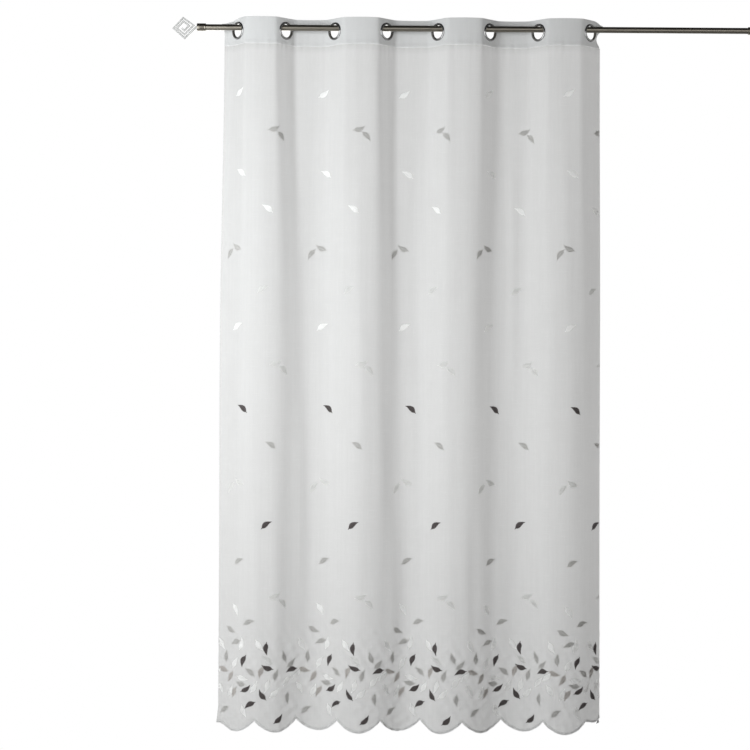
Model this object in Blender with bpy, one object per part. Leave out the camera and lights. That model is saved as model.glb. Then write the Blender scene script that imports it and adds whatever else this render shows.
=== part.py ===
"""Sheer voile curtain with a scalloped hem, hung by eight eyelets on a metal rod.

Metres, +Z up. The rod runs along X, and the good side of the cloth faces -Y.
The origin is on the rod's axis, above the middle of the hung cloth.

Distances along the flat cloth are counted from its left side edge. A bearing is
the direction in which the cloth runs, seen from above: 0 is along the rod, plus
turns towards the back and minus towards the front.
"""

import math
from typing import NamedTuple

import bpy
from mathutils.geometry import delaunay_2d_cdt

GAP = 0.0003
SHARP_EDGE = 38.0

# Rod, its two end caps and the finial
ROD_RADIUS = 0.010
ROD_LEFT_END = -0.7215
ROD_RIGHT_END = 1.160
ROD_SIDES = 32
CAP_RADIUS = 0.0127
CAP_LENGTH = 0.030
CAP_WALL = 0.003
CAP_OVERHANG = CAP_WALL + GAP
CAP_EDGE = 0.0018
CAP_LIP = 0.0006
FINIAL_BAR_WIDTH = 0.0052
FINIAL_BAR_DEPTH = 0.0060

# Eyelets: a front ring with its barrel, and a back ring pressed on from behind
EYELET_DROP = 0.0108
BARREL_OUTSIDE = 0.0242
EYELET_SIDES = 20


class Turning(NamedTuple):
    """Point of a ring's section: its radius, and how far it stands off the cloth."""

    radius: float
    rise: float


FRONT_DOME = (
    Turning(0.0220, 0.0001),
    Turning(0.0232, 0.0021),
    Turning(0.0256, 0.0031),
    Turning(0.0284, 0.0026),
    Turning(0.0300, 0.0008),
    Turning(0.0300, 0.0),
)
BARREL_END = (
    Turning(0.0242, 0.0019),
    Turning(0.0230, 0.0017),
    Turning(0.0220, -0.0001),
)
BACK_DOME = (
    Turning(0.0245, 0.0),
    Turning(0.0300, 0.0),
    Turning(0.0300, 0.0008),
    Turning(0.0284, 0.0022),
    Turning(0.0258, 0.0026),
    Turning(0.0245, 0.0023),
)

# Cloth
HEADING_THICKNESS = 0.0020
PANEL_THICKNESS = 0.0012
HEADING_TOP = 0.0325
HEADING_BOTTOM = -0.058
HOLE_RADIUS = 0.0245
SEAT_RADIUS = 0.0310
MIDDLE_HEIGHT = -1.050
CUSP_HEIGHT = -2.328
SCALLOP_DEPTH = 0.042
SCALLOP_PITCH = 0.1555
WHOLE_SCALLOPS = 8
SCALLOP_COLUMNS = 12
LEAST_COLUMN = 0.4
SCALLOP_FULLNESS = 0.80
FIRST_CUSP = 0.149
LAST_CUSP = FIRST_CUSP + WHOLE_SCALLOPS * SCALLOP_PITCH
END_DEPTH = 0.010
END_ROUND = 0.022
EAR_WIDTH = 0.013
EAR_HEIGHT = -2.3475
HEADING_COLUMN = 0.015
SEAT_CLEAR = 0.003
EDGE_POINT = 0.012
HEADING_ROWS = (HEADING_TOP, 0.0215, -0.0108, -0.0430, HEADING_BOTTOM)
PANEL_ROWS = (0.0, 0.03, 0.08, 0.15, 0.24, 0.34, 0.45, 0.56, 0.67, 0.78, 0.88, 0.94, 0.98, 1.0)


class Flank(NamedTuple):
    """A turned stretch of cloth that hangs from one eyelet: its place and its turn.

    The flanks turn to the front and to the back by turns. The crease is the
    straight half of a flank low down, and a long one sharpens the bend after it.
    """

    name: str
    head_x: float
    head_turn: float
    middle_x: float
    middle_turn: float
    hem_x: float
    hem_turn: float
    crease: float


FLANKS = (
    Flank("1", -0.586, 48.0, -0.592, 40.0, -0.588, 38.0, 0.018),
    Flank("2", -0.425, 44.0, -0.398, 36.0, -0.400, 35.0, 0.018),
    Flank("3", -0.260, 45.0, -0.252, 37.0, -0.250, 35.0, 0.018),
    Flank("4", -0.085, 44.0, -0.073, 38.0, -0.062, 38.0, 0.014),
    Flank("5", 0.088, 45.0, 0.074, 37.0, 0.056, 36.0, 0.020),
    Flank("6", 0.263, 44.0, 0.257, 36.0, 0.262, 36.0, 0.014),
    Flank("7", 0.427, 45.0, 0.421, 38.0, 0.440, 37.0, 0.018),
    Flank("8", 0.601, 45.0, 0.606, 38.0, 0.612, 38.0, 0.018),
)


class BendShape(NamedTuple):
    """Form of a bend between two flanks: two tighter shoulders and a flatter crown.

    The shoulder is a share of the bend's width. The crown's bearing where it meets
    a shoulder is a share of the flank's turn.
    """

    shoulder: float
    crown: float


BOXY_BEND = BendShape(0.15, 0.20)
SOFT_BEND = BendShape(0.24, 0.50)


class Edge(NamedTuple):
    """Free side of the cloth beyond an outer eyelet."""

    margin: float
    head_bearing: float
    low_bearing: float
    corner_fall: float
    curl: float


LEFT_EDGE = Edge(0.031, 0.0, -14.0, 0.016, 0.0)
RIGHT_EDGE = Edge(0.016, 4.0, 18.0, 0.0135, 60.0)
CORNER_START = 0.020
CORNER_EASE = 1.5
CURL_HEIGHT = -0.040
CURL_REACH = 0.020
FLARE_TOP = -2.290
FLARE_WIDTH = 0.030
FLARE = 0.006


class Ridge(NamedTuple):
    """Soft upright ridge in the hung panel, raised to the front."""

    along: float
    width: float
    height: float
    top: float
    bottom: float


RIDGES = (
    Ridge(0.480, 0.022, 0.004, -0.16, -0.66),
    Ridge(1.120, 0.020, 0.005, -0.40, -1.34),
    Ridge(0.315, 0.026, 0.005, -1.20, -2.20),
    Ridge(0.670, 0.030, 0.006, -1.55, -2.37),
    Ridge(0.970, 0.026, -0.005, -1.60, -2.37),
)


class Corner(NamedTuple):
    """Corner of the finial's square spiral, from the middle of the cap's end."""

    across: float
    up: float


FINIAL_CORNERS = (
    Corner(-GAP, 0.0),
    Corner(-0.0035, 0.0),
    Corner(-0.0410, -0.0375),
    Corner(-0.0790, -0.0045),
    Corner(-0.0465, 0.0305),
    Corner(-0.0115, 0.0055),
    Corner(-0.0420, -0.0255),
    Corner(-0.0680, -0.0045),
    Corner(-0.0455, 0.0190),
    Corner(-0.0265, 0.0045),
    Corner(-0.0430, -0.0120),
    Corner(-0.0515, -0.0035),
)


class Run(NamedTuple):
    """Stretch of the cloth's plan, straight or evenly bent."""

    length: float
    start: float
    end: float

    def travel(self, distance):
        """Shift in X and Y, and the bearing, after a distance along the run."""
        bearing = self.start + (self.end - self.start) * distance / self.length
        turn = bearing - self.start
        if abs(turn) < 1e-6:
            return distance * math.cos(bearing), distance * math.sin(bearing), bearing
        radius = distance / turn
        shift_x = radius * (math.sin(bearing) - math.sin(self.start))
        shift_y = radius * (math.cos(self.start) - math.cos(bearing))
        return shift_x, shift_y, bearing


def smooth(share):
    """Ease from 0 to 1 with level ends."""
    share = min(max(share, 0.0), 1.0)
    return share * share * (3.0 - 2.0 * share)


def mix(first, second, share):
    """Value between two others."""
    return first + (second - first) * share


def arc_reach(start, end):
    """Shift along and off the rod's line for each metre of an even bend."""
    along = (math.sin(start) - math.sin(end)) / (start - end)
    off = (math.cos(end) - math.cos(start)) / (start - end)
    return along, off


class Bend:
    """Bend that joins two flanks whose middles both lie on the rod's line.

    The less turned flank gets an extra straight length, so that the cloth comes
    back to the rod's line.
    """

    def __init__(self, first_turn, second_turn, across, straight, shape):
        steep = max(first_turn, second_turn)
        slight = min(first_turn, second_turn)
        free = across - straight * (math.cos(steep) + math.cos(slight))
        self.shoulder = shape.shoulder * free
        self.crown_turn = shape.crown * slight
        steep_along, steep_off = arc_reach(steep, self.crown_turn)
        slight_along, slight_off = arc_reach(slight, self.crown_turn)
        off = straight * (math.sin(steep) - math.sin(slight))
        off += self.shoulder * (steep_off - slight_off)
        extra = off / math.sin(slight)
        free -= self.shoulder * (steep_along + slight_along) + extra * math.cos(slight)
        self.crown = free * self.crown_turn / math.sin(self.crown_turn)
        self.before = straight + (extra if first_turn <= second_turn else 0.0)
        self.after = straight + (extra if first_turn > second_turn else 0.0)


class HungPlan:
    """Plan of the cloth at one level, from the heading (0) to the hem (2)."""

    def __init__(self, level):
        lower = smooth(level)
        lowest = smooth(level - 1.0)
        places = []
        turns = []
        for flank in FLANKS:
            place = mix(flank.head_x, flank.middle_x, lower)
            places.append(mix(place, flank.hem_x, lowest))
            turn = mix(flank.head_turn, flank.middle_turn, lower)
            turns.append(math.radians(mix(turn, flank.hem_turn, lowest)))
        straights = [mix(SEAT_RADIUS, flank.crease, lower) for flank in FLANKS]
        self.shape = BendShape(
            mix(BOXY_BEND.shoulder, SOFT_BEND.shoulder, lower),
            mix(BOXY_BEND.crown, SOFT_BEND.crown, lower),
        )

        left = math.radians(mix(LEFT_EDGE.head_bearing, LEFT_EDGE.low_bearing, lower))
        right = math.radians(mix(RIGHT_EDGE.head_bearing, RIGHT_EDGE.low_bearing, lower))
        self.runs = [
            Run(LEFT_EDGE.margin, left, -turns[0]),
            Run(SEAT_RADIUS, -turns[0], -turns[0]),
        ]
        self.marks = [LEFT_EDGE.margin + SEAT_RADIUS]
        for index in range(len(FLANKS) - 1):
            self._add_bend(index, places, turns, straights[index])
        self.runs.append(Run(SEAT_RADIUS, turns[-1], turns[-1]))
        self.runs.append(Run(RIGHT_EDGE.margin, turns[-1], right))
        self.length = sum(run.length for run in self.runs)

        self.origin = (0.0, 0.0)
        x, y, _ = self.at(self.marks[0])
        self.origin = (places[0] - x, -y)

    def _add_bend(self, index, places, turns, straight):
        """Add the runs from one flank's middle to the next one's."""
        side = -1.0 if index % 2 == 0 else 1.0
        first, second = turns[index], turns[index + 1]
        across = places[index + 1] - places[index]
        bend = Bend(first, second, across, straight, self.shape)
        crown = side * bend.crown_turn
        added = [
            Run(bend.before, side * first, side * first),
            Run(bend.shoulder, side * first, crown),
            Run(bend.crown, crown, -crown),
            Run(bend.shoulder, -crown, -side * second),
            Run(bend.after, -side * second, -side * second),
        ]
        self.runs += added
        self.marks.append(self.marks[-1] + sum(run.length for run in added))

    def at(self, distance):
        """X, Y and bearing at a distance along the cloth from its left edge."""
        x, y = self.origin
        for run in self.runs[:-1]:
            if distance <= run.length:
                break
            shift_x, shift_y, _ = run.travel(run.length)
            x += shift_x
            y += shift_y
            distance -= run.length
        else:
            run = self.runs[-1]
        shift_x, shift_y, bearing = run.travel(distance)
        return x + shift_x, y + shift_y, bearing


def hem_height(along, length):
    """Height of the scalloped hem at a distance along the flat cloth.

    The first scallop is cut off by a short level ear, and the last one is
    shallow and ends in a round corner.
    """
    if along < EAR_WIDTH:
        return EAR_HEIGHT
    share = ((along - FIRST_CUSP) / SCALLOP_PITCH) % 1.0
    depth = END_DEPTH if along > LAST_CUSP else SCALLOP_DEPTH
    height = CUSP_HEIGHT - depth * math.sin(math.pi * share) ** SCALLOP_FULLNESS
    corner = max(along - length + END_ROUND, 0.0)
    return height + END_ROUND - math.sqrt(END_ROUND ** 2 - corner ** 2)


def level_at(height):
    """Level of the plan at a height: 0 heading, 1 middle, 2 hem."""
    if height > MIDDLE_HEIGHT:
        return max(HEADING_BOTTOM - height, 0.0) / (HEADING_BOTTOM - MIDDLE_HEIGHT)
    return 1.0 + (MIDDLE_HEIGHT - height) / (MIDDLE_HEIGHT - CUSP_HEIGHT)


def ridge_rise(along, height):
    """How far the soft ridges raise the panel to the front."""
    rise = 0.0
    for ridge in RIDGES:
        if not ridge.bottom < height < ridge.top:
            continue
        share = (ridge.top - height) / (ridge.top - ridge.bottom)
        offset = (along - ridge.along) / ridge.width
        rise += ridge.height * math.sin(math.pi * share) * math.exp(-offset * offset)
    return rise


def make_finish(name, colour, roughness, metallic):
    """Principled material of one finish."""
    material = bpy.data.materials.new(name)
    material.use_nodes = True
    shader = material.node_tree.nodes["Principled BSDF"]
    shader.inputs["Base Color"].default_value = (*colour, 1.0)
    shader.inputs["Roughness"].default_value = roughness
    shader.inputs["Metallic"].default_value = metallic
    material.diffuse_color = (*colour, 1.0)
    return material


def make_mesh(name, points, faces, round_piece=False):
    """Mesh from points and faces, shaded smooth if the piece is round."""
    mesh = bpy.data.meshes.new(name)
    mesh.from_pydata(points, [], faces)
    mesh.update()
    if round_piece:
        mesh.shade_smooth()
        mesh.set_sharp_from_angle(angle=math.radians(SHARP_EDGE))
    return mesh


def place_piece(name, mesh, material):
    """Put a mesh in the scene as one named piece."""
    piece = bpy.data.objects.new(name, mesh)
    bpy.context.collection.objects.link(piece)
    if not mesh.materials:
        mesh.materials.append(material)
    return piece


def cloth_solid(pattern, faces, hang, thickness):
    """Solid sheet from a flat cut pattern.

    hang gives the middle of the sheet and its bearing for a point of the
    pattern, and the two faces lie half a thickness before and behind it.
    """
    front = []
    back = []
    for point in pattern:
        x, y, z, bearing = hang(*point)
        across = 0.5 * thickness * math.sin(bearing)
        depth = 0.5 * thickness * math.cos(bearing)
        front.append((x + across, y - depth, z))
        back.append((x - across, y + depth, z))

    count = len(pattern)
    solid_faces = list(faces)
    solid_faces += [tuple(count + corner for corner in reversed(face)) for face in faces]
    sides = [side for face in faces for side in zip(face, (*face[1:], face[0]))]
    inner = set(sides)
    for start, end in sides:
        if (end, start) not in inner:
            solid_faces.append((end, start, count + start, count + end))
    return front + back, solid_faces


def turned(profile, sides, ends_on_axis):
    """Points and faces of a profile of (radius, along Y) turned round the Y axis.

    The profile runs so that the solid lies on its left, seen with the radius to
    the right and Y up. It is a closed outline, or starts and ends on the axis.
    """
    points = []
    rings = []
    for radius, along in profile:
        if radius == 0.0:
            rings.append([len(points)] * sides)
            points.append((0.0, along, 0.0))
            continue
        rings.append(list(range(len(points), len(points) + sides)))
        for side in range(sides):
            angle = 2.0 * math.pi * side / sides
            points.append((radius * math.cos(angle), along, radius * math.sin(angle)))
    faces = []
    pairs = list(zip(rings, rings[1:]))
    if not ends_on_axis:
        pairs.append((rings[-1], rings[0]))
    for lower, upper in pairs:
        for side in range(sides):
            following = (side + 1) % sides
            corners = (lower[side], upper[side], upper[following], lower[following])
            faces.append(tuple(dict.fromkeys(corners)))
    return points, faces


def heading_pattern(head):
    """Flat heading with its eyelet holes: points (along, height) and triangles."""
    points = []
    edges = []

    def add_loop(loop, closed):
        first = len(points)
        points.extend(loop)
        count = len(loop)
        edges.extend((first + step, first + step + 1) for step in range(count - 1))
        if closed:
            edges.append((first + count - 1, first))

    def add_column(along):
        add_loop([(along, height) for height in HEADING_ROWS], False)

    for mark in head.marks:
        for radius in (HOLE_RADIUS, SEAT_RADIUS):
            circle = []
            for side in range(EYELET_SIDES):
                angle = 2.0 * math.pi * side / EYELET_SIDES
                circle.append(
                    (mark + radius * math.cos(angle), radius * math.sin(angle) - EYELET_DROP)
                )
            add_loop(circle, True)

    clear = SEAT_RADIUS + SEAT_CLEAR
    for left_mark, right_mark in zip(head.marks, head.marks[1:]):
        free = right_mark - left_mark - 2.0 * clear
        columns = round(free / HEADING_COLUMN)
        for column in range(columns + 1):
            add_column(left_mark + clear + free * column / columns)
    for side_edge, outer in ((0.0, head.marks[0] - clear), (head.length, head.marks[-1] + clear)):
        for share in (0.0, 0.5, 1.0):
            add_column(mix(side_edge, outer, share))
    for mark in head.marks:
        for along in (mark - EDGE_POINT, mark + EDGE_POINT):
            points.append((along, HEADING_TOP))
            points.append((along, HEADING_BOTTOM))

    flat, _, triangles, _, _, _ = delaunay_2d_cdt(points, edges, [], 0, 1e-6)
    kept = []
    for triangle in triangles:
        along = sum(flat[corner][0] for corner in triangle) / 3.0
        height = sum(flat[corner][1] for corner in triangle) / 3.0
        to_hole = min(math.hypot(along - mark, height + EYELET_DROP) for mark in head.marks)
        if to_hole > HOLE_RADIUS:
            kept.append(tuple(triangle))
    return [tuple(point) for point in flat], kept


def hang_heading(head, along, height):
    """Hung place of a point of the heading, with its limp outer corners."""
    x, y, bearing = head.at(along)
    from_left = along - head.marks[0]
    from_right = along - head.marks[-1]
    if from_left > CORNER_START and from_right < -CORNER_START:
        return x, y, height, bearing
    edge, beyond = (LEFT_EDGE, -from_left)
    if from_right > -CORNER_START:
        edge, beyond = (RIGHT_EDGE, from_right)

    if beyond > SEAT_RADIUS:
        level = abs(height - CURL_HEIGHT) / CURL_REACH
        curl = math.radians(edge.curl) * max(1.0 - level, 0.0)
        pivot = head.marks[-1] + SEAT_RADIUS if from_right > 0.0 else edge.margin
        pivot_x, pivot_y, _ = head.at(pivot)
        shift_x, shift_y = x - pivot_x, y - pivot_y
        x = pivot_x + shift_x * math.cos(curl) - shift_y * math.sin(curl)
        y = pivot_y + shift_x * math.sin(curl) + shift_y * math.cos(curl)
        bearing += curl

    hinge = math.sqrt(max(SEAT_RADIUS ** 2 - beyond ** 2, 0.0)) - EYELET_DROP
    if height > hinge:
        reach = edge.margin + SEAT_RADIUS
        share = (beyond + CORNER_START) / (reach + CORNER_START)
        fall = edge.corner_fall * share ** CORNER_EASE
        upright = 1.0 - fall / (HEADING_TOP - hinge)
        leaning = (height - hinge) * math.sqrt(1.0 - upright ** 2)
        height = hinge + (height - hinge) * upright
        x += leaning * math.sin(bearing)
        y -= leaning * math.cos(bearing)
    return x, y, height, bearing


def panel_columns(length):
    """Distances along the flat cloth of the panel's columns."""
    step = SCALLOP_PITCH / SCALLOP_COLUMNS
    before = int(FIRST_CUSP / step - LEAST_COLUMN)
    after = int((length - FIRST_CUSP) / step - LEAST_COLUMN)
    inner = [FIRST_CUSP + step * column for column in range(-before, after + 1)]
    return [0.0, *inner, length]


def hang_panel(head, along, share):
    """Hung place of a point of the panel, by its share of the way to the hem."""
    height = mix(HEADING_BOTTOM - GAP, hem_height(along, head.length), share)
    plan = HungPlan(level_at(height))
    x, y, bearing = plan.at(along * plan.length / head.length)
    rise = ridge_rise(along, height)
    flare = FLARE * max(1.0 - along / FLARE_WIDTH, 0.0)
    flare *= max(FLARE_TOP - height, 0.0) / (FLARE_TOP - EAR_HEIGHT)
    x += rise * math.sin(bearing) - flare
    return x, y - rise * math.cos(bearing), height, bearing


def make_rod(material):
    """Plain round rod along X."""
    profile = (
        (0.0, ROD_LEFT_END), (ROD_RADIUS, ROD_LEFT_END), (ROD_RADIUS, ROD_RIGHT_END),
        (0.0, ROD_RIGHT_END),
    )
    points, faces = turned(profile, ROD_SIDES, True)
    rod = place_piece("rod", make_mesh("rod", points, faces, True), material)
    rod.rotation_euler = (0.0, 0.0, -0.5 * math.pi)


def make_caps(material):
    """Cap pushed over each end of the rod, closed at its outer end."""
    bore = ROD_RADIUS + GAP
    profile = (
        (0.0, 0.0), (CAP_RADIUS - CAP_EDGE, 0.0), (CAP_RADIUS, CAP_EDGE),
        (CAP_RADIUS, CAP_LENGTH - CAP_LIP), (CAP_RADIUS - CAP_LIP, CAP_LENGTH),
        (bore, CAP_LENGTH), (bore, CAP_WALL), (0.0, CAP_WALL),
    )
    points, faces = turned(profile, ROD_SIDES, True)
    mesh = make_mesh("cap", points, faces, True)
    left = place_piece("cap_left", mesh, material)
    left.location = (ROD_LEFT_END - CAP_OVERHANG, 0.0, 0.0)
    left.rotation_euler = (0.0, 0.0, -0.5 * math.pi)
    right = place_piece("cap_right", mesh, material)
    right.location = (ROD_RIGHT_END + CAP_OVERHANG, 0.0, 0.0)
    right.rotation_euler = (0.0, 0.0, 0.5 * math.pi)


def side_step(before, corner, after):
    """Shift from a corner of the finial's path to the bar's side, mitred."""
    across = 0.0
    up = 0.0
    for start, end in ((before, corner), (corner, after)):
        length = math.hypot(end.across - start.across, end.up - start.up)
        across += (start.up - end.up) / length
        up += (end.across - start.across) / length
    reach = FINIAL_BAR_WIDTH / (across ** 2 + up ** 2)
    return across * reach, up * reach


def mirrored(corner, middle):
    """Corner on the other side of a middle one, straight through it."""
    return Corner(2.0 * middle.across - corner.across, 2.0 * middle.up - corner.up)


def make_finial(material):
    """Square spiral of flat bar at the left end."""
    first, second = FINIAL_CORNERS[:2]
    before_last, last = FINIAL_CORNERS[-2:]
    path = (mirrored(second, first), *FINIAL_CORNERS, mirrored(before_last, last))
    points = []
    for depth in (-0.5 * FINIAL_BAR_DEPTH, 0.5 * FINIAL_BAR_DEPTH):
        for before, corner, after in zip(path, path[1:], path[2:]):
            step_x, step_z = side_step(before, corner, after)
            points.append((corner.across + step_x, depth, corner.up + step_z))
            points.append((corner.across - step_x, depth, corner.up - step_z))
    back = 2 * len(FINIAL_CORNERS)
    faces = []
    for low in range(0, back - 2, 2):
        faces.append((low, low + 1, low + 3, low + 2))
        faces.append((back + low, back + low + 2, back + low + 3, back + low + 1))
        faces.append((low, low + 2, back + low + 2, back + low))
        faces.append((low + 1, back + low + 1, back + low + 3, low + 3))
    faces.append((0, back, back + 1, 1))
    faces.append((back - 2, back - 1, 2 * back - 1, 2 * back - 2))
    finial = place_piece("finial", make_mesh("finial", points, faces), material)
    finial.location = (ROD_LEFT_END - CAP_OVERHANG, 0.0, 0.0)


def make_eyelets(head, material):
    """Front and back ring of each eyelet, clamped on the heading."""
    seat = 0.5 * HEADING_THICKNESS + GAP
    front = [(BARREL_OUTSIDE, -seat)]
    front += [(point.radius, seat + point.rise) for point in BARREL_END]
    front += [(point.radius, -seat - point.rise) for point in FRONT_DOME]
    back = [(point.radius, seat + point.rise) for point in BACK_DOME]
    meshes = {}
    for side, profile in (("front", front), ("back", back)):
        points, faces = turned(profile, EYELET_SIDES, False)
        meshes[side] = make_mesh(f"eyelet_{side}", points, faces, True)
    for flank, mark in zip(FLANKS, head.marks):
        x, y, bearing = head.at(mark)
        for side, mesh in meshes.items():
            ring = place_piece(f"eyelet_{flank.name}_{side}", mesh, material)
            ring.location = (x, y, -EYELET_DROP)
            ring.rotation_euler = (0.0, 0.0, bearing)


def make_heading(head, material):
    """Stiffened heading band, with a hole for each eyelet."""
    pattern, triangles = heading_pattern(head)
    points, faces = cloth_solid(
        pattern, triangles, lambda along, height: hang_heading(head, along, height),
        HEADING_THICKNESS,
    )
    place_piece("heading", make_mesh("heading", points, faces), material)


def make_panel(head, material):
    """Sheer panel from the heading's seam to the scalloped hem."""
    columns = panel_columns(head.length)
    rows = len(PANEL_ROWS)
    pattern = [(along, share) for along in columns for share in PANEL_ROWS]
    quads = []
    for column in range(len(columns) - 1):
        for row in range(rows - 1):
            corner = column * rows + row
            quads.append((corner, corner + 1, corner + rows + 1, corner + rows))
    points, faces = cloth_solid(
        pattern, quads, lambda along, share: hang_panel(head, along, share), PANEL_THICKNESS
    )
    place_piece("panel", make_mesh("panel", points, faces), material)


def build_curtain():
    """Clear the scene and make every piece."""
    for old in list(bpy.data.objects):
        bpy.data.objects.remove(old, do_unlink=True)
    pewter = make_finish("rod_pewter", (0.30, 0.28, 0.25), 0.30, 1.0)
    silver = make_finish("finial_silver", (0.62, 0.62, 0.61), 0.32, 1.0)
    nickel = make_finish("eyelet_nickel", (0.16, 0.16, 0.16), 0.22, 1.0)
    voile = make_finish("voile", (0.86, 0.86, 0.85), 0.80, 0.0)
    band = make_finish("heading_band", (0.84, 0.85, 0.86), 0.75, 0.0)
    head = HungPlan(0.0)
    make_rod(pewter)
    make_caps(pewter)
    make_finial(silver)
    make_eyelets(head, nickel)
    make_heading(head, band)
    make_panel(head, voile)


build_curtain()
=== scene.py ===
"""Looks of a sheer voile curtain on its rod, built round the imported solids.

Metres, +Z up. The rod runs along X, and the good side of the cloth faces -Y.
A place on the cloth is given as on the cutting table: its distance along the
cloth from the left side edge, and its height as hung, 0 at the rod's axis. A
bearing is the way the cloth runs seen from above: 0 is along the rod, plus turns
towards the back and minus towards the front.
"""

import logging
import math
from dataclasses import dataclass
from enum import Enum
from typing import Iterable, NamedTuple, Sequence

import bpy
import numpy as np
from mathutils import Matrix, Vector
from mathutils.geometry import delaunay_2d_cdt


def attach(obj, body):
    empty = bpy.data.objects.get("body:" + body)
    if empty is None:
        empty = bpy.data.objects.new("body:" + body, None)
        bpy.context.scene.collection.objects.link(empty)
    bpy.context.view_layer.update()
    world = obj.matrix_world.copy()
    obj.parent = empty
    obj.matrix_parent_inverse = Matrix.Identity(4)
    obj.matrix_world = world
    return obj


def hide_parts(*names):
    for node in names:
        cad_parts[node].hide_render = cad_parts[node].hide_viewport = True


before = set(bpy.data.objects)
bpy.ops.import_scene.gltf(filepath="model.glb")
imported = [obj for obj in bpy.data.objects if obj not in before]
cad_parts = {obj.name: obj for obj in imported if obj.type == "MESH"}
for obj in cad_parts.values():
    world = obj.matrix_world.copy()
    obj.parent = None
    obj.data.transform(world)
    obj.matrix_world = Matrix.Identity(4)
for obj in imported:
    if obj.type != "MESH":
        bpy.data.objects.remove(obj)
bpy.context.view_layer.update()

Pair = tuple[float, float]
Triple = tuple[float, float, float]
Colour = Triple
Array = np.ndarray
Piece = bpy.types.Object
Material = bpy.types.Material
Socket = bpy.types.NodeSocket

LOG = logging.getLogger("curtain")
BODY = "root"
CLOTH_MAP = "flat_cloth"
BAR_MAP = "across_bar"

GAP = 0.0003
SHARP_METAL = math.radians(38.0)
SHARP_BAR = math.radians(20.0)
SHARP_CLOTH = math.radians(70.0)

# Rod, caps and finial, as in the solids
ROD_RADIUS = 0.010
ROD_LEFT_END = -0.7215
ROD_RIGHT_END = 1.160
CAP_WALL = 0.003
CAP_OVERHANG = CAP_WALL + GAP

# Heading and panel, as in the solids, but with softer outer top corners
EYELET_DROP = 0.0108
HEADING_THICKNESS = 0.0020
HEADING_TOP = 0.0325
HEADING_BOTTOM = -0.058
HOLE_RADIUS = 0.0245
SEAT_RADIUS = 0.0310
MIDDLE_HEIGHT = -1.050
CUSP_HEIGHT = -2.328
SCALLOP_DEPTH = 0.042
SCALLOP_PITCH = 0.1555
SCALLOP_FULLNESS = 0.80
WHOLE_SCALLOPS = 8
FIRST_CUSP = 0.149
LAST_CUSP = FIRST_CUSP + WHOLE_SCALLOPS * SCALLOP_PITCH
END_DEPTH = 0.010
END_ROUND = 0.022
EAR_WIDTH = 0.013
EAR_HEIGHT = -2.3475
CURL_HEIGHT = -0.027
CURL_REACH = 0.018
CORNER_LEAN = 0.35
FLARE_TOP = -2.290
FLARE_WIDTH = 0.030
FLARE = 0.006


class Flank(NamedTuple):
    """Turned stretch of cloth that hangs from one eyelet: its place and its turn."""

    head_x: float
    head_turn: float
    middle_x: float
    middle_turn: float
    hem_x: float
    hem_turn: float
    crease: float


FLANKS = (
    Flank(-0.586, 48.0, -0.592, 40.0, -0.588, 38.0, 0.018),
    Flank(-0.425, 44.0, -0.398, 36.0, -0.400, 35.0, 0.018),
    Flank(-0.260, 45.0, -0.252, 37.0, -0.250, 35.0, 0.018),
    Flank(-0.085, 44.0, -0.073, 38.0, -0.062, 38.0, 0.014),
    Flank(0.088, 45.0, 0.074, 37.0, 0.056, 36.0, 0.020),
    Flank(0.263, 44.0, 0.257, 36.0, 0.262, 36.0, 0.014),
    Flank(0.427, 45.0, 0.421, 38.0, 0.440, 37.0, 0.018),
    Flank(0.601, 45.0, 0.606, 38.0, 0.612, 38.0, 0.018),
)


class BendShape(NamedTuple):
    """Form of a bend between two flanks: two shoulders and a flatter crown."""

    shoulder: float
    crown: float


BOXY_BEND = BendShape(0.15, 0.20)
SOFT_BEND = BendShape(0.24, 0.50)


class Edge(NamedTuple):
    """Free side of the cloth beyond an outer eyelet.

    The limp top corner starts to fall at a distance beyond the eyelet's middle, by
    a curve that is steeper towards the side edge where its ease is greater.
    """

    margin: float
    head_bearing: float
    low_bearing: float
    corner_fall: float
    corner_start: float
    corner_ease: float
    curl: float


LEFT_EDGE = Edge(0.031, 0.0, -14.0, 0.0160, -0.014, 1.0, 0.0)
RIGHT_EDGE = Edge(0.016, 4.0, 18.0, 0.0165, 0.012, 3.0, 56.0)


class Ridge(NamedTuple):
    """Soft upright ridge in the hung panel, raised to the front."""

    along: float
    width: float
    height: float
    top: float
    bottom: float


RIDGES = (
    Ridge(0.480, 0.022, 0.004, -0.16, -0.66),
    Ridge(1.120, 0.020, 0.005, -0.40, -1.34),
    Ridge(0.315, 0.026, 0.005, -1.20, -2.20),
    Ridge(0.670, 0.030, 0.006, -1.55, -2.37),
    Ridge(0.970, 0.026, -0.005, -1.60, -2.37),
)


NO_TURN = 1e-6


class Run(NamedTuple):
    """Stretch of the cloth's plan, straight or evenly bent."""

    length: float
    start: float
    end: float

    def travel(self, distance: float) -> Triple:
        """Follow the run.

        Args:
            distance: how far along the run.

        Returns:
            The shift in X and in Y, and the bearing there.
        """
        bearing = self.start + (self.end - self.start) * distance / self.length
        turn = bearing - self.start
        if abs(turn) < NO_TURN:
            return distance * math.cos(bearing), distance * math.sin(bearing), bearing
        radius = distance / turn
        shift_x = radius * (math.sin(bearing) - math.sin(self.start))
        shift_y = radius * (math.cos(self.start) - math.cos(bearing))
        return shift_x, shift_y, bearing


def smooth(share: float) -> float:
    """Ease from 0 to 1 with level ends."""
    share = min(max(share, 0.0), 1.0)
    return share * share * (3.0 - 2.0 * share)


def mix(first: float, second: float, share: float) -> float:
    """Value between two others."""
    return first + (second - first) * share


def front_of(bearing: Array) -> Array:
    """Directions that face the front where the cloth runs at these bearings."""
    return np.stack((np.sin(bearing), -np.cos(bearing), np.zeros_like(bearing)), -1)


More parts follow.
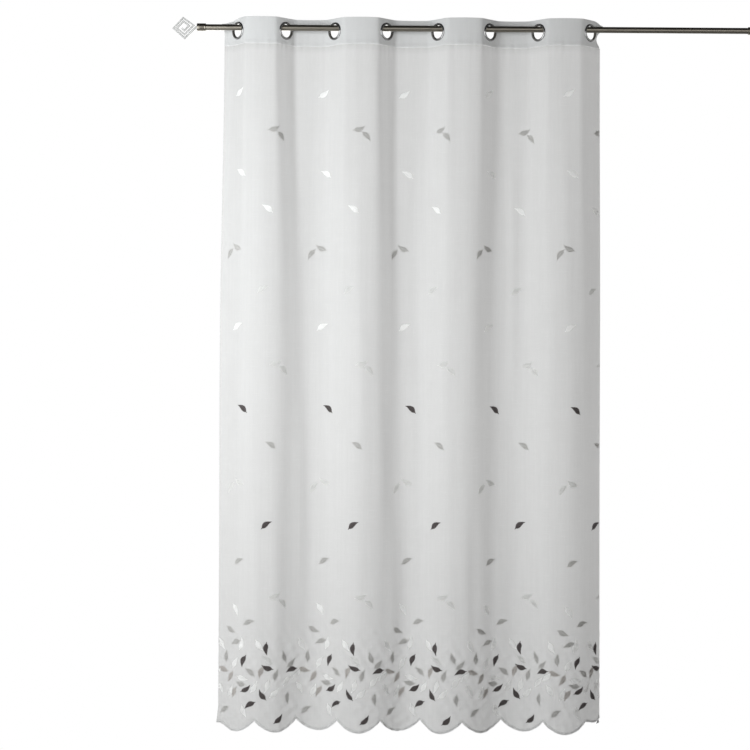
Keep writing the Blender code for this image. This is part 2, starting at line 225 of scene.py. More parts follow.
def arc_reach(start: float, end: float) -> Pair:
    """Shift along and off the rod's line for each metre of an even bend.

    Args:
        start: bearing at its start.
        end: bearing at its end.

    Returns:
        The shift along the line, and the shift off it.
    """
    along = (math.sin(start) - math.sin(end)) / (start - end)
    off = (math.cos(end) - math.cos(start)) / (start - end)
    return along, off


class Bend:
    """Bend that joins two flanks whose middles both lie on the rod's line."""

    def __init__(
        self, first_turn: float, second_turn: float, across: float, straight: float,
        shape: BendShape,
    ) -> None:
        """Work out the bend's stretches.

        Args:
            first_turn: turn of the flank before the bend.
            second_turn: turn of the flank after it.
            across: distance between the two flanks' middles.
            straight: straight half of each flank.
            shape: form of the bend.
        """
        steep = max(first_turn, second_turn)
        slight = min(first_turn, second_turn)
        free = across - straight * (math.cos(steep) + math.cos(slight))
        self.shoulder = shape.shoulder * free
        self.crown_turn = shape.crown * slight
        steep_along, steep_off = arc_reach(steep, self.crown_turn)
        slight_along, slight_off = arc_reach(slight, self.crown_turn)
        off = straight * (math.sin(steep) - math.sin(slight))
        off += self.shoulder * (steep_off - slight_off)
        extra = off / math.sin(slight)
        free -= self.shoulder * (steep_along + slight_along) + extra * math.cos(slight)
        self.crown = free * self.crown_turn / math.sin(self.crown_turn)
        self.before = straight + (extra if first_turn <= second_turn else 0.0)
        self.after = straight + (extra if first_turn > second_turn else 0.0)


class HungPlan:
    """Plan of the cloth at one level, from the heading (0) to the hem (2)."""

    def __init__(self, level: float) -> None:
        """Lay out the runs.

        Args:
            level: 0 at the heading, 1 at the middle, 2 at the hem.
        """
        lower = smooth(level)
        lowest = smooth(level - 1.0)
        places = [mix(mix(f.head_x, f.middle_x, lower), f.hem_x, lowest) for f in FLANKS]
        turns = [
            math.radians(mix(mix(f.head_turn, f.middle_turn, lower), f.hem_turn, lowest))
            for f in FLANKS
        ]
        straights = [mix(SEAT_RADIUS, flank.crease, lower) for flank in FLANKS]
        shape = BendShape(
            mix(BOXY_BEND.shoulder, SOFT_BEND.shoulder, lower),
            mix(BOXY_BEND.crown, SOFT_BEND.crown, lower),
        )
        left, right = (
            math.radians(mix(edge.head_bearing, edge.low_bearing, lower))
            for edge in (LEFT_EDGE, RIGHT_EDGE)
        )
        self.runs = [
            Run(LEFT_EDGE.margin, left, -turns[0]),
            Run(SEAT_RADIUS, -turns[0], -turns[0]),
        ]
        self.marks = [LEFT_EDGE.margin + SEAT_RADIUS]
        side = -1.0
        for index, straight in enumerate(straights[:-1]):
            first, second = turns[index : index + 2]
            across = places[index + 1] - places[index]
            self._add_bend(Bend(first, second, across, straight, shape), side, first, second)
            side = -side
        self.runs.append(Run(SEAT_RADIUS, turns[-1], turns[-1]))
        self.runs.append(Run(RIGHT_EDGE.margin, turns[-1], right))
        self.length = sum(run.length for run in self.runs)
        self.origin = (0.0, 0.0)
        x, y, _ = self.at(self.marks[0])
        self.origin = (places[0] - x, -y)

    def _add_bend(self, bend: Bend, side: float, first: float, second: float) -> None:
        """Add the runs from one flank's middle to the next one's.

        Args:
            bend: the bend between them.
            side: -1 for a bend to the front, 1 for one to the back.
            first: turn of the flank before.
            second: turn of the flank after.
        """
        crown = side * bend.crown_turn
        added = [
            Run(bend.before, side * first, side * first),
            Run(bend.shoulder, side * first, crown),
            Run(bend.crown, crown, -crown),
            Run(bend.shoulder, -crown, -side * second),
            Run(bend.after, -side * second, -side * second),
        ]
        self.runs += added
        self.marks.append(self.marks[-1] + sum(run.length for run in added))

    def at(self, distance: float) -> Triple:
        """Find a place on the plan.

        Args:
            distance: how far along the cloth from its left edge.

        Returns:
            X, Y and the bearing.
        """
        x, y = self.origin
        for run in self.runs[:-1]:
            if distance <= run.length:
                break
            shift_x, shift_y, _ = run.travel(run.length)
            x += shift_x
            y += shift_y
            distance -= run.length
        else:
            run = self.runs[-1]
        shift_x, shift_y, bearing = run.travel(distance)
        return x + shift_x, y + shift_y, bearing


WAVE_STARTS = (0.0, 6.28)


class WaveKind(NamedTuple):
    """Irregular waves: how many, and the ranges of their radians for each metre."""

    count: int
    along: Pair
    down: Pair

    def draw(self, source: np.random.Generator) -> list[Triple]:
        """Draw each wave's radians along and down the cloth, and where it starts."""
        ranges = (self.along, self.down, WAVE_STARTS)
        return [tuple(source.uniform(*span) for span in ranges) for _ in range(self.count)]


@dataclass
class Relief:
    """Small rises of the hung cloth: seam puckers, creases and ripples.

    A sway shifts a regular wave to and fro: its size, its radians for each metre and
    where it starts.
    """

    pucker: float = 0.0010
    pucker_pitch: float = 0.0245
    pucker_fade: float = 0.026
    pucker_sways: tuple[Triple, ...] = ((1.6, 31.0, 0.0), (0.9, 77.0, 1.0))
    wide_pitch: float = 1.73
    wide_share: float = 0.4
    crease: float = 0.0007
    creases: WaveKind = WaveKind(9, (35.0, 120.0), (-7.0, 7.0))
    ripple: float = 0.0010
    ripple_pitch: float = 0.031
    ripple_fade: float = 0.022
    ripple_sway: Triple = (2.0, 19.0, 0.0)
    border_top: float = -1.98
    border_fade: float = 0.12
    border_pull: float = 0.0011
    pulls: WaveKind = WaveKind(10, (-210.0, 210.0), (60.0, 230.0))
    seed: int = 20

    def __post_init__(self) -> None:
        """Draw the directions of the irregular waves."""
        draw = np.random.default_rng(self.seed)
        self.crease_waves = self.creases.draw(draw)
        self.pull_waves = self.pulls.draw(draw)

    @staticmethod
    def waves(terms: Sequence[Triple], along: Array, height: Array) -> Array:
        """Sum of waves, about -1 to 1."""
        total = sum(np.sin(a * along + b * height + c) for a, b, c in terms)
        return total / math.sqrt(len(terms))

    @staticmethod
    def sway(terms: Sequence[Triple], along: Array) -> Array:
        """Shift of a regular wave."""
        return sum(size * np.sin(turns * along + start) for size, turns, start in terms)

    def seam(self, along: Array, height: Array) -> Array:
        """Puckers that the seam draws in the cloth on both sides of it.

        Args:
            along: distances along the cloth.
            height: heights as hung.

        Returns:
            The rise to the front.
        """
        away = np.abs(height - HEADING_BOTTOM) / self.pucker_fade
        sway = self.sway(self.pucker_sways, along)
        narrow = np.sin(2.0 * math.pi * along / self.pucker_pitch + sway)
        wide = np.sin(2.0 * math.pi * along / (self.wide_pitch * self.pucker_pitch) - sway)
        both = (1.0 - self.wide_share) * narrow + self.wide_share * wide
        return self.pucker * both * np.exp(-away)

    def panel(self, along: Array, height: Array, hem: Array) -> Array:
        """Rise of the panel.

        Args:
            along: distances along the cloth.
            height: heights as hung.
            hem: height of the hem under each point.

        Returns:
            The rise to the front.
        """
        rise = self.seam(along, height)
        for ridge in RIDGES:
            share = np.clip((ridge.top - height) / (ridge.top - ridge.bottom), 0.0, 1.0)
            offset = (along - ridge.along) / ridge.width
            rise = rise + ridge.height * np.sin(math.pi * share) * np.exp(-offset * offset)
        rise += self.crease * self.waves(self.crease_waves, along, height)
        border = np.clip((self.border_top - height) / self.border_fade, 0.0, 1.0)
        rise += self.border_pull * border * self.waves(self.pull_waves, along, height)
        close = np.exp((hem - height) / self.ripple_fade)
        turn = 2.0 * math.pi * along / self.ripple_pitch + self.sway([self.ripple_sway], along)
        return rise + self.ripple * close * np.sin(turn)


class HungCloth:
    """The whole cloth as it hangs, looked up from places on the flat cloth."""

    LEVELS = 100
    STEPS = 620

    def __init__(self) -> None:
        """Work out a fine net of places on the hung cloth."""
        self.head = HungPlan(0.0)
        self.length = self.head.length
        self.relief = Relief()
        shares = np.linspace(0.0, 1.0, self.STEPS + 1)
        net = []
        for level in np.linspace(0.0, 2.0, self.LEVELS + 1):
            plan = HungPlan(float(level))
            net.append([plan.at(float(share) * plan.length) for share in shares])
        self.net = np.array(net)

    @staticmethod
    def level_at(height: Array) -> Array:
        """Find the levels of the plan.

        Args:
            height: heights as hung.

        Returns:
            Levels: 0 at the heading, 1 at the middle, 2 at the hem.
        """
        upper = np.maximum(HEADING_BOTTOM - height, 0.0) / (HEADING_BOTTOM - MIDDLE_HEIGHT)
        lower = 1.0 + (MIDDLE_HEIGHT - height) / (MIDDLE_HEIGHT - CUSP_HEIGHT)
        return np.where(height > MIDDLE_HEIGHT, upper, lower)

    def hem_height(self, along: Array) -> Array:
        """Height of the scalloped hem.

        The first scallop is cut off by a short level ear, and the last one is
        shallow and ends in a round corner.

        Args:
            along: distances along the cloth.

        Returns:
            The hem's heights.
        """
        share = np.mod((along - FIRST_CUSP) / SCALLOP_PITCH, 1.0)
        depth = np.where(along > LAST_CUSP, END_DEPTH, SCALLOP_DEPTH)
        height = CUSP_HEIGHT - depth * np.sin(math.pi * share) ** SCALLOP_FULLNESS
        corner = np.clip(along - self.length + END_ROUND, 0.0, END_ROUND)
        height = height + END_ROUND - np.sqrt(END_ROUND**2 - corner**2)
        return np.where(along < EAR_WIDTH, EAR_HEIGHT, height)

    def place(self, along: Array, height: Array) -> Array:
        """Middle of the cloth, without its relief.

        Args:
            along: distances along the cloth.
            height: heights as hung.

        Returns:
            X, Y and bearing of each point.
        """
        level = np.clip(self.level_at(height), 0.0, 2.0) * self.LEVELS / 2.0
        step = np.clip(along / self.length, 0.0, 1.0) * self.STEPS
        row = np.minimum(level.astype(int), self.LEVELS - 1)
        column = np.minimum(step.astype(int), self.STEPS - 1)
        down = (level - row)[..., None]
        right = (step - column)[..., None]
        upper = self.net[row, column] * (1 - right) + self.net[row, column + 1] * right
        lower = self.net[row + 1, column] * (1 - right) + self.net[row + 1, column + 1] * right
        return upper * (1 - down) + lower * down

    def panel_surface(self, along: Array, height: Array) -> tuple[Array, Array]:
        """Points of the panel with its relief.

        Args:
            along: distances along the cloth.
            height: heights as hung.

        Returns:
            The points, and the directions that face the front there.
        """
        x, y, bearing = np.moveaxis(self.place(along, height), -1, 0)
        facing = front_of(bearing)
        rise = self.relief.panel(along, height, self.hem_height(along))
        flare = FLARE * np.clip(1.0 - along / FLARE_WIDTH, 0.0, 1.0)
        x = x - flare * np.maximum(FLARE_TOP - height, 0.0) / (FLARE_TOP - EAR_HEIGHT)
        points = np.stack((x, y, height), -1) + facing * rise[..., None]
        return points, facing


# Finishes


class TreeWriter:
    """Adds and joins the nodes of one material or geometry tree."""

    MIX_INPUTS = (0, 6, 7)
    MIX_OUTPUT = 2

    def __init__(self, tree: bpy.types.NodeTree) -> None:
        """Start with an empty tree."""
        self.tree = tree
        tree.nodes.clear()

    def add(self, kind: str, inputs: dict | None = None, **settings: object) -> bpy.types.Node:
        """Add a node.

        Args:
            kind: the node's type.
            inputs: a value, or the socket to join, for each of its inputs.
            settings: its other properties.

        Returns:
            The new node.
        """
        node = self.tree.nodes.new(kind)
        for name, value in settings.items():
            setattr(node, name, value)
        for name, value in (inputs or {}).items():
            if isinstance(value, Socket):
                self.tree.links.new(value, node.inputs[name])
            else:
                node.inputs[name].default_value = value
        return node

    def math(self, operation: str, *values: object) -> Socket:
        """Add a sum on numbers and return its result."""
        node = self.add("ShaderNodeMath", dict(enumerate(values)), operation=operation)
        return node.outputs[0]

    def stretched(self, source: Socket, scale: Triple) -> Socket:
        """Scale a place by an amount for each axis."""
        return self.add("ShaderNodeMapping", {"Vector": source, "Scale": scale}).outputs[0]

    def noise(self, place: Socket, scale: float = 1.0, detail: float = 2.0) -> Socket:
        """Add a noise and return its strength, about 0.3 to 0.7."""
        inputs = {"Vector": place, "Scale": scale, "Detail": detail}
        return self.add("ShaderNodeTexNoise", inputs).outputs[0]

    def spread(
        self, value: Socket, low: float, high: float, to_low: float = 0.0, to_high: float = 1.0
    ) -> Socket:
        """Map a range of a value to another range.

        Args:
            value: the value.
            low: where its range starts.
            high: where its range ends.
            to_low: where the new range starts.
            to_high: where the new range ends.

        Returns:
            The mapped value, kept inside the new range.
        """
        inputs = {
            "Value": value, "From Min": low, "From Max": high, "To Min": to_low,
            "To Max": to_high,
        }
        return self.add("ShaderNodeMapRange", inputs).outputs[0]

    def blend(self, share: Socket, first: object, second: object) -> Socket:
        """Mix two colours.

        Args:
            share: how much of the second colour there is, 0 to 1.
            first: the first colour, or its socket.
            second: the second colour, or its socket.

        Returns:
            The mixed colour.
        """
        node = self.add("ShaderNodeMix", data_type="RGBA")
        for index, value in zip(self.MIX_INPUTS, (share, first, second)):
            if isinstance(value, Socket):
                self.tree.links.new(value, node.inputs[index])
            else:
                node.inputs[index].default_value = (*value, 1.0)
        return node.outputs[self.MIX_OUTPUT]


class Coat(TreeWriter):
    """Material of one Principled shader, and the nodes that feed it."""

    def __init__(self, name: str, **constants: float) -> None:
        """Make the material.

        Args:
            name: its name.
            constants: shader values that are the same all over.
        """
        self.material = bpy.data.materials.new(name)
        self.material.use_nodes = True
        super().__init__(self.material.node_tree)
        self.shader = self.add("ShaderNodeBsdfPrincipled")
        output = self.add("ShaderNodeOutputMaterial")
        self.tree.links.new(self.shader.outputs[0], output.inputs[0])
        for socket, value in constants.items():
            self.shader.inputs[socket.replace("_", " ")].default_value = value

    def object_place(self) -> Socket:
        """Place on the object, in metres."""
        return self.add("ShaderNodeTexCoord").outputs["Object"]

    def cloth_place(self) -> Socket:
        """Place on the flat cloth, in metres."""
        return self.add("ShaderNodeUVMap", uv_map=CLOTH_MAP).outputs[0]

    def feed(self, socket: str, value: Socket) -> None:
        """Join a value to one of the shader's sockets."""
        self.tree.links.new(value, self.shader.inputs[socket])

    def bump(self, height: Socket, distance: float, strength: float = 1.0) -> None:
        """Raise the surface by a height of 0 to 1 times a distance in metres."""
        inputs = {"Height": height, "Distance": distance, "Strength": strength}
        self.feed("Normal", self.add("ShaderNodeBump", inputs).outputs[0])


EVEN = (0.35, 0.65)
RARE = (0.56, 0.74)
BRUSHED = (0.32, 0.68)
PATCHY = (0.42, 0.66)


def shaded(colour: Colour, share: float) -> Colour:
    """Darker or lighter form of a colour."""
    return tuple(share * part for part in colour)


@dataclass(frozen=True)
class VoileFinish:
    """Plain-woven sheer cloth with slubs in both its threads, and a painted shadow just below the
    seam where one is asked for.
    """

    name: str
    colour: Colour
    # darker tone for the random streaks and clouds, also the colour of the painted shadow below
    # the seam
    dark_tone_and_seam_shadow: Colour
    slub: Colour
    alpha: float
    roughness: float
    # strength of the painted shadow just below the heading's seam
    seam_shade: float = 0.0
    seam_span: Pair = (HEADING_BOTTOM - 0.024, HEADING_BOTTOM - 0.002)
    thread_pitch: float = 0.0009
    streaks: Triple = (150.0, 3.0, 1.0)
    warp_slubs: Triple = (900.0, 26.0, 1.0)
    weft_slubs: Triple = (18.0, 760.0, 1.0)
    clouds: float = 11.0
    streak_tone: float = 0.4
    cloud_tone: float = 0.35
    slub_tone: float = 0.4
    seam_tone: float = 0.80
    slub_polish: float = 0.15
    weave_rise: float = 0.18
    weave_level: float = 0.2
    slub_rise: float = 0.3
    streak_rise: float = 0.12
    bump: float = 0.00028
    sheen: Pair = (0.12, 0.5)

    def make(self) -> Material:
        """Build the material.

        Returns:
            Sheer cloth that reads its place on the flat cloth.
        """
        sheen, spread = self.sheen
        coat = Coat(self.name, Alpha=self.alpha, Sheen_Weight=sheen, Sheen_Roughness=spread)
        place = coat.cloth_place()
        streak = coat.spread(coat.noise(coat.stretched(place, self.streaks)), *EVEN)
        warp, weft = (
            coat.spread(coat.noise(coat.stretched(place, slubs)), *RARE)
            for slubs in (self.warp_slubs, self.weft_slubs)
        )
        cloud = coat.spread(coat.noise(place, self.clouds, 3.0), *EVEN)
        slubs = coat.math("MAXIMUM", warp, weft)
        colour = self.colour
        for share, amount, tone in (
            (streak, self.streak_tone, self.dark_tone_and_seam_shadow), (cloud, self.cloud_tone, self.dark_tone_and_seam_shadow),
            (slubs, self.slub_tone, self.slub),
        ):
            colour = coat.blend(coat.math("MULTIPLY", share, amount), colour, tone)
        along, height, _ = coat.add("ShaderNodeSeparateXYZ", {0: place}).outputs
        # Painted shadow: the cloth is darkened just below the heading's seam, as if shaded by it.
        seam = coat.spread(height, *self.seam_span, 0.0, self.seam_shade)
        coat.feed("Base Color", coat.blend(seam, colour, shaded(self.dark_tone_and_seam_shadow, self.seam_tone)))
        polished = self.roughness - self.slub_polish
        coat.feed("Roughness", coat.spread(slubs, 0.0, 1.0, self.roughness, polished))
        turn = 2.0 * math.pi / self.thread_pitch
        over, under = (
            coat.math("SINE", coat.math("MULTIPLY", way, turn)) for way in (along, height)
        )
        crossed = coat.math("MULTIPLY", over, under)
        weave = coat.math("MULTIPLY_ADD", crossed, self.weave_rise, self.weave_level)
        raised = coat.math("ADD", weave, coat.math("MULTIPLY", slubs, self.slub_rise))
        coat.bump(coat.math("MULTIPLY_ADD", streak, self.streak_rise, raised), self.bump)
        return coat.material


@dataclass(frozen=True)
class ThreadFinish:
    """Lustrous machine-embroidery thread, each stitch a little lighter or darker."""

    name: str
    colour: Colour
    light: Colour
    roughness: float = 0.46
    dulling: float = 0.1
    stitches: float = 620.0
    patches: float = 90.0
    fibres: float = 2600.0
    stitch_tone: float = 0.55
    patch_tone: float = 0.35
    bump: float = 0.00012
    sheen: Pair = (0.2, 0.35)
    gloss: float = 0.45

    def make(self) -> Material:
        """Build the material.

        Returns:
            Thread with a soft lustre and fine fibres.
        """
        sheen, spread = self.sheen
        coat = Coat(
            self.name, Sheen_Weight=sheen, Sheen_Roughness=spread, Specular_IOR_Level=self.gloss
        )
        place = coat.object_place()
        stitch = coat.spread(coat.noise(place, self.stitches, 1.0), *EVEN)
        patch = coat.spread(coat.noise(place, self.patches, 2.0), *EVEN)
        lit = coat.math("MULTIPLY", stitch, self.stitch_tone)
        colour = coat.blend(lit, self.colour, self.light)
        faded = coat.math("MULTIPLY", patch, self.patch_tone)
        colour = coat.blend(faded, colour, self.colour)
        coat.feed("Base Color", colour)
        dull = self.roughness + self.dulling
        coat.feed("Roughness", coat.spread(stitch, 0.0, 1.0, dull, self.roughness))
        coat.bump(coat.noise(place, self.fibres, 2.0), self.bump)
        return coat.material


@dataclass(frozen=True)
class MetalFinish:
    """Metal with fine scratches along or round the piece, dull patches and grime, and, if asked,
    painted shade along a bar's bevelled edges.
    """

    name: str
    colour: Colour
    worn: Colour
    smooth: float
    dull: float
    grain: Triple
    bump: float
    grime: float = 0.3
    # strength of the painted shade along a bar's bevelled edges
    edge_painted_shade: float = 0.0
    edge_span: Pair = (0.38, 0.76)
    edge_tone: float = 0.4
    fineness: float = 3.1
    fine_rise: float = 0.4
    patches: float = 46.0
    patch_dulling: float = 0.08
    wear: float = 0.6
    grime_tone: float = 0.72

    def make(self) -> Material:
        """Build the material.

        Returns:
            Metal with painted shade along the bar's bevelled edges, if it is given any.
        """
        coat = Coat(self.name, Metallic=1.0)
        place = coat.object_place()
        grain = coat.spread(coat.noise(coat.stretched(place, self.grain), 1.0, 3.0), *BRUSHED)
        fine = coat.noise(coat.stretched(place, shaded(self.grain, self.fineness)), 1.0, 2.0)
        patch = coat.spread(coat.noise(place, self.patches, 4.0), *PATCHY)
        colour = coat.blend(coat.math("MULTIPLY", grain, self.wear), self.colour, self.worn)
        dirt = coat.math("MULTIPLY", patch, self.grime)
        colour = coat.blend(dirt, colour, shaded(self.colour, self.grime_tone))
        # Painted shade: the bar's bevelled edges are darkened as if they caught less light.
        if self.edge_painted_shade:
            across = coat.add("ShaderNodeAttribute", attribute_name=BAR_MAP).outputs["Fac"]
            away = coat.math("ABSOLUTE", across)
            edge = coat.spread(away, *self.edge_span, 0.0, self.edge_painted_shade)
            colour = coat.blend(edge, colour, shaded(self.colour, self.edge_tone))
        coat.feed("Base Color", colour)
        rough = coat.spread(grain, 0.0, 1.0, self.smooth, self.dull)
        coat.feed("Roughness", coat.math("MULTIPLY_ADD", patch, self.patch_dulling, rough))
        raised = coat.math("ADD", coat.math("MULTIPLY", fine, self.fine_rise), grain)
        coat.bump(raised, self.bump)
        return coat.material


@dataclass(frozen=True)
class FloorFinish:
    """Plain pale studio floor."""

    name: str
    colour: Colour
    shade: Colour
    clouds: float = 2.0
    grit: float = 180.0
    polish: Pair = (0.62, 0.7)
    bump: float = 0.0002

    def make(self) -> Material:
        """Build the material.

        Returns:
            Matt floor with a faint cloudiness.
        """
        coat = Coat(self.name)
        place = coat.object_place()
        cloud = coat.spread(coat.noise(place, self.clouds, 4.0), *EVEN)
        coat.feed("Base Color", coat.blend(cloud, self.colour, self.shade))
        coat.feed("Roughness", coat.spread(cloud, 0.0, 1.0, *self.polish))
        coat.bump(coat.noise(place, self.grit, 2.0), self.bump)
        return coat.material


# The voile's last value, 0.60, is the strength of its painted shadow below the heading's seam.
VOILE = VoileFinish(
    "voile_sheer", (0.647, 0.645, 0.643), (0.602, 0.60, 0.596), (0.74, 0.74, 0.735), 0.80, 0.82,
    0.60,
)
BAND = VoileFinish(
    "voile_band", (0.68, 0.686, 0.69), (0.647, 0.652, 0.656), (0.75, 0.75, 0.75), 1.0, 0.74
)
PEWTER = MetalFinish(
    "brushed_pewter", (0.25, 0.23, 0.195), (0.305, 0.285, 0.25), 0.25, 0.35,
    (28.0, 800.0, 800.0), 0.000010,
)
# The silver's last value, 0.55, is the strength of the painted shade along the finial's bevelled
# edges.
SILVER = MetalFinish(
    "satin_silver", (0.51, 0.51, 0.505), (0.59, 0.59, 0.585), 0.50, 0.56,
    (500.0, 500.0, 900.0), 0.00002, 0.2, 0.55,
)
NICKEL = MetalFinish(
    "dark_nickel", (0.28, 0.28, 0.28), (0.36, 0.36, 0.36), 0.12, 0.20,
    (420.0, 420.0, 420.0), 0.00002,
)
SEAM_THREAD = ThreadFinish("seam_thread", (0.64, 0.645, 0.65), (0.71, 0.71, 0.71))
HEM_THREAD = ThreadFinish("hem_thread", (0.75, 0.75, 0.75), (0.85, 0.85, 0.85))
PALE_FLOOR = FloorFinish("pale_floor", (0.88, 0.88, 0.87), (0.84, 0.84, 0.83))


class ThreadShade(Enum):
    """Colours of the embroidery thread."""

    DARK = ThreadFinish("thread_dark", (0.064, 0.052, 0.052), (0.135, 0.116, 0.116))
    TAUPE = ThreadFinish("thread_taupe", (0.47, 0.445, 0.425), (0.60, 0.575, 0.555))
    GREY = ThreadFinish("thread_grey", (0.48, 0.475, 0.462), (0.62, 0.612, 0.60))
    PALE = ThreadFinish("thread_pale", (0.70, 0.70, 0.69), (0.79, 0.79, 0.78))
    WHITE = ThreadFinish("thread_white", (0.90, 0.90, 0.895), (0.96, 0.96, 0.955))


# Making meshes


def put(name: str, data: bpy.types.ID) -> Piece:
    """Make an object and link it to the scene.

    Args:
        name: its name.
        data: its mesh, camera or light.

    Returns:
        The object, at the origin.
    """
    piece = bpy.data.objects.new(name, data)
    bpy.context.collection.objects.link(piece)
    return piece


def mesh_piece(
    name: str, points: Iterable[Sequence[float]], faces: Iterable[Sequence[int]],
    finish: Material, sharp: float | None = None,
) -> Piece:
    """Make one smooth-shaded object.

    Args:
        name: its name.
        points: its points, in place.
        faces: its faces, facing out.
        finish: its material.
        sharp: angle from which an edge stays sharp, if any does.

    Returns:
        The object, at the origin.
    """
    mesh = bpy.data.meshes.new(name)
    mesh.from_pydata(list(points), [], list(faces))
    mesh.update()
    mesh.shade_smooth()
    if sharp is not None:
        mesh.set_sharp_from_angle(angle=sharp)
    mesh.materials.append(finish)
    return put(name, mesh)


def lay_cloth_map(mesh: bpy.types.Mesh, flat: Array) -> None:
    """Give a cloth mesh a map of its places on the flat cloth.

    Args:
        mesh: the cloth.
        flat: distance along and height of each of its points.
    """
    corners = np.empty(len(mesh.loops), dtype=np.int64)
    mesh.loops.foreach_get("vertex_index", corners)
    layer = mesh.uv_layers.new(name=CLOTH_MAP)
    layer.data.foreach_set("uv", flat[corners].astype(np.float32).ravel())


def turned(
    profile: Sequence[Pair], sides: int, closed: bool
) -> tuple[list[Vector], list[tuple[int, ...]]]:
    """Turn a profile of (radius, distance) round the Y axis.

    Args:
        profile: it runs with the solid on its left, the radius to the right.
        sides: number of steps round.
        closed: whether the profile is a closed outline. If not, it starts and
            ends on the axis.

    Returns:
        Points and faces.
    """
    points: list[Vector] = []
    rings = []
    for radius, distance in profile:
        if radius == 0.0:
            rings.append([len(points)] * sides)
            points.append(Vector((0.0, distance, 0.0)))
            continue
        rings.append(list(range(len(points), len(points) + sides)))
        for side in range(sides):
            angle = 2.0 * math.pi * side / sides
            points.append(Vector((radius * math.cos(angle), distance, radius * math.sin(angle))))
    pairs = list(zip(rings, rings[1:]))
    if closed:
        pairs.append((rings[-1], rings[0]))
    faces = []
    for lower, upper in pairs:
        for side in range(sides):
            following = (side + 1) % sides
            corners = (lower[side], upper[side], upper[following], lower[following])
            faces.append(tuple(dict.fromkeys(corners)))
    return points, faces


def dome(inner: float, outer: float, height: float, steps: int) -> list[Pair]:
    """Half-round section of a ring.

    Args:
        inner: its inner radius.
        outer: its outer radius.
        height: how far it stands off.
        steps: number of steps across.

    Returns:
        Radius and rise of each point, from the inside out.
    """
    middle = 0.5 * (inner + outer)
    half = 0.5 * (outer - inner)
    angles = [math.pi * (1.0 - step / steps) for step in range(steps + 1)]
    return [(middle + half * math.cos(a), height * math.sin(a)) for a in angles]


def ride(piece: Piece, slot: str, *nodes: str) -> Piece:
    """Fix a piece to the model's one body and hide the CAD nodes that it stands for.

    Args:
        piece: the finished piece.
        slot: the record's material slot; not used.
        nodes: the CAD nodes that it stands for.

    Returns:
        The same piece.
    """
    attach(piece, BODY)
    if nodes:
        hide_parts(*nodes)
    return piece


# Stitches


@dataclass
class ThreadTree:
    """Geometry Nodes tree that lays one arched thread on each stitch point."""

    lie: str = "stitch_lie"
    facing: str = "stitch_facing"
    steps: int = 2
    sides: int = 4
    sink: float = 0.15
    arch: float = 0.75

    def __post_init__(self) -> None:
        """Build the tree."""
        self.group = bpy.data.node_groups.new("lay_threads", "GeometryNodeTree")
        face = self.group.interface
        face.new_socket("Stitches", in_out="INPUT", socket_type="NodeSocketGeometry")
        self.width, self.height, self.finish = (
            face.new_socket(name, in_out="INPUT", socket_type="NodeSocket" + kind).identifier
            for name, kind in (
                ("Thread Width", "Float"), ("Thread Height", "Float"), ("Finish", "Material")
            )
        )
        face.new_socket("Threads", in_out="OUTPUT", socket_type="NodeSocketGeometry")
        tree = TreeWriter(self.group)
        given = tree.add("NodeGroupInput")
        path = tree.add(
            "GeometryNodeCurveQuadraticBezier",
            {
                "Resolution": self.steps, "Start": (-0.5, 0.0, -self.sink),
                "Middle": (0.0, 0.0, self.arch), "End": (0.5, 0.0, -self.sink),
            },
        )
        section = tree.add(
            "GeometryNodeCurvePrimitiveCircle", {"Resolution": self.sides, "Radius": 0.5}
        )
        thread = tree.add(
            "GeometryNodeCurveToMesh",
            {"Curve": path.outputs[0], "Profile Curve": section.outputs[0], "Fill Caps": True},
        )
        lie, facing = (
            tree.add(
                "GeometryNodeInputNamedAttribute", {"Name": name}, data_type="FLOAT_VECTOR"
            ).outputs[0]
            for name in (self.lie, self.facing)
        )
        turn = tree.add(
            "FunctionNodeAxesToRotation",
            {"Primary Axis": facing, "Secondary Axis": lie},
            primary_axis="Z", secondary_axis="X",
        )
        reach = tree.add("ShaderNodeVectorMath", {0: lie}, operation="LENGTH")
        size = tree.add(
            "ShaderNodeCombineXYZ",
            {
                0: reach.outputs["Value"], 1: given.outputs["Thread Width"],
                2: given.outputs["Thread Height"],
            },
        )
        laid = tree.add(
            "GeometryNodeInstanceOnPoints",
            {
                "Points": given.outputs["Stitches"], "Instance": thread.outputs[0],
                "Rotation": turn.outputs[0], "Scale": size.outputs[0],
            },
        )
        real = tree.add("GeometryNodeRealizeInstances", {0: laid.outputs[0]})
        dressed = tree.add(
            "GeometryNodeSetMaterial",
            {"Geometry": real.outputs[0], "Material": given.outputs["Finish"]},
        )
        tree.add("NodeGroupOutput", {0: dressed.outputs[0]})

    def sew(
        self, name: str, starts: Array, ends: Array, facing: Array,
        size: Pair, finish: Material,
    ) -> Piece:
        """Lay a thread for each stitch.

        Args:
            name: the piece's name.
            starts: where the stitches start.
            ends: where they end.
            facing: the way the cloth faces there.
            size: width and height of the thread.
            finish: its material.

        Returns:
            A plain mesh of all the threads.
        """
        carrier_mesh = bpy.data.meshes.new(name + "_points")
        carrier_mesh.from_pydata((0.5 * (starts + ends)).tolist(), [], [])
        for attribute, values in ((self.lie, ends - starts), (self.facing, facing)):
            layer = carrier_mesh.attributes.new(attribute, "FLOAT_VECTOR", "POINT")
            layer.data.foreach_set("vector", values.astype(np.float32).ravel())
        carrier = put(name + "_points", carrier_mesh)
        modifier = carrier.modifiers.new("threads", "NODES")
        modifier.node_group = self.group
        modifier[self.width], modifier[self.height] = size
        modifier[self.finish] = finish
        graph = bpy.context.evaluated_depsgraph_get()
        mesh = bpy.data.meshes.new_from_object(carrier.evaluated_get(graph))
        bpy.data.objects.remove(carrier)
        mesh.name = name
        mesh.shade_smooth()
        for attribute in (self.lie, self.facing):
            if attribute in mesh.attributes:
                mesh.attributes.remove(mesh.attributes[attribute])
        return put(name, mesh)


class Leaf(NamedTuple):
    """Embroidered leaf of one repeat: its middle, where its tip points, its bend."""

    shade: ThreadShade
    along: float
    height: float
    lean: float
    bend: float = 0.6


DARK, TAUPE, GREY, PALE, WHITE = ThreadShade

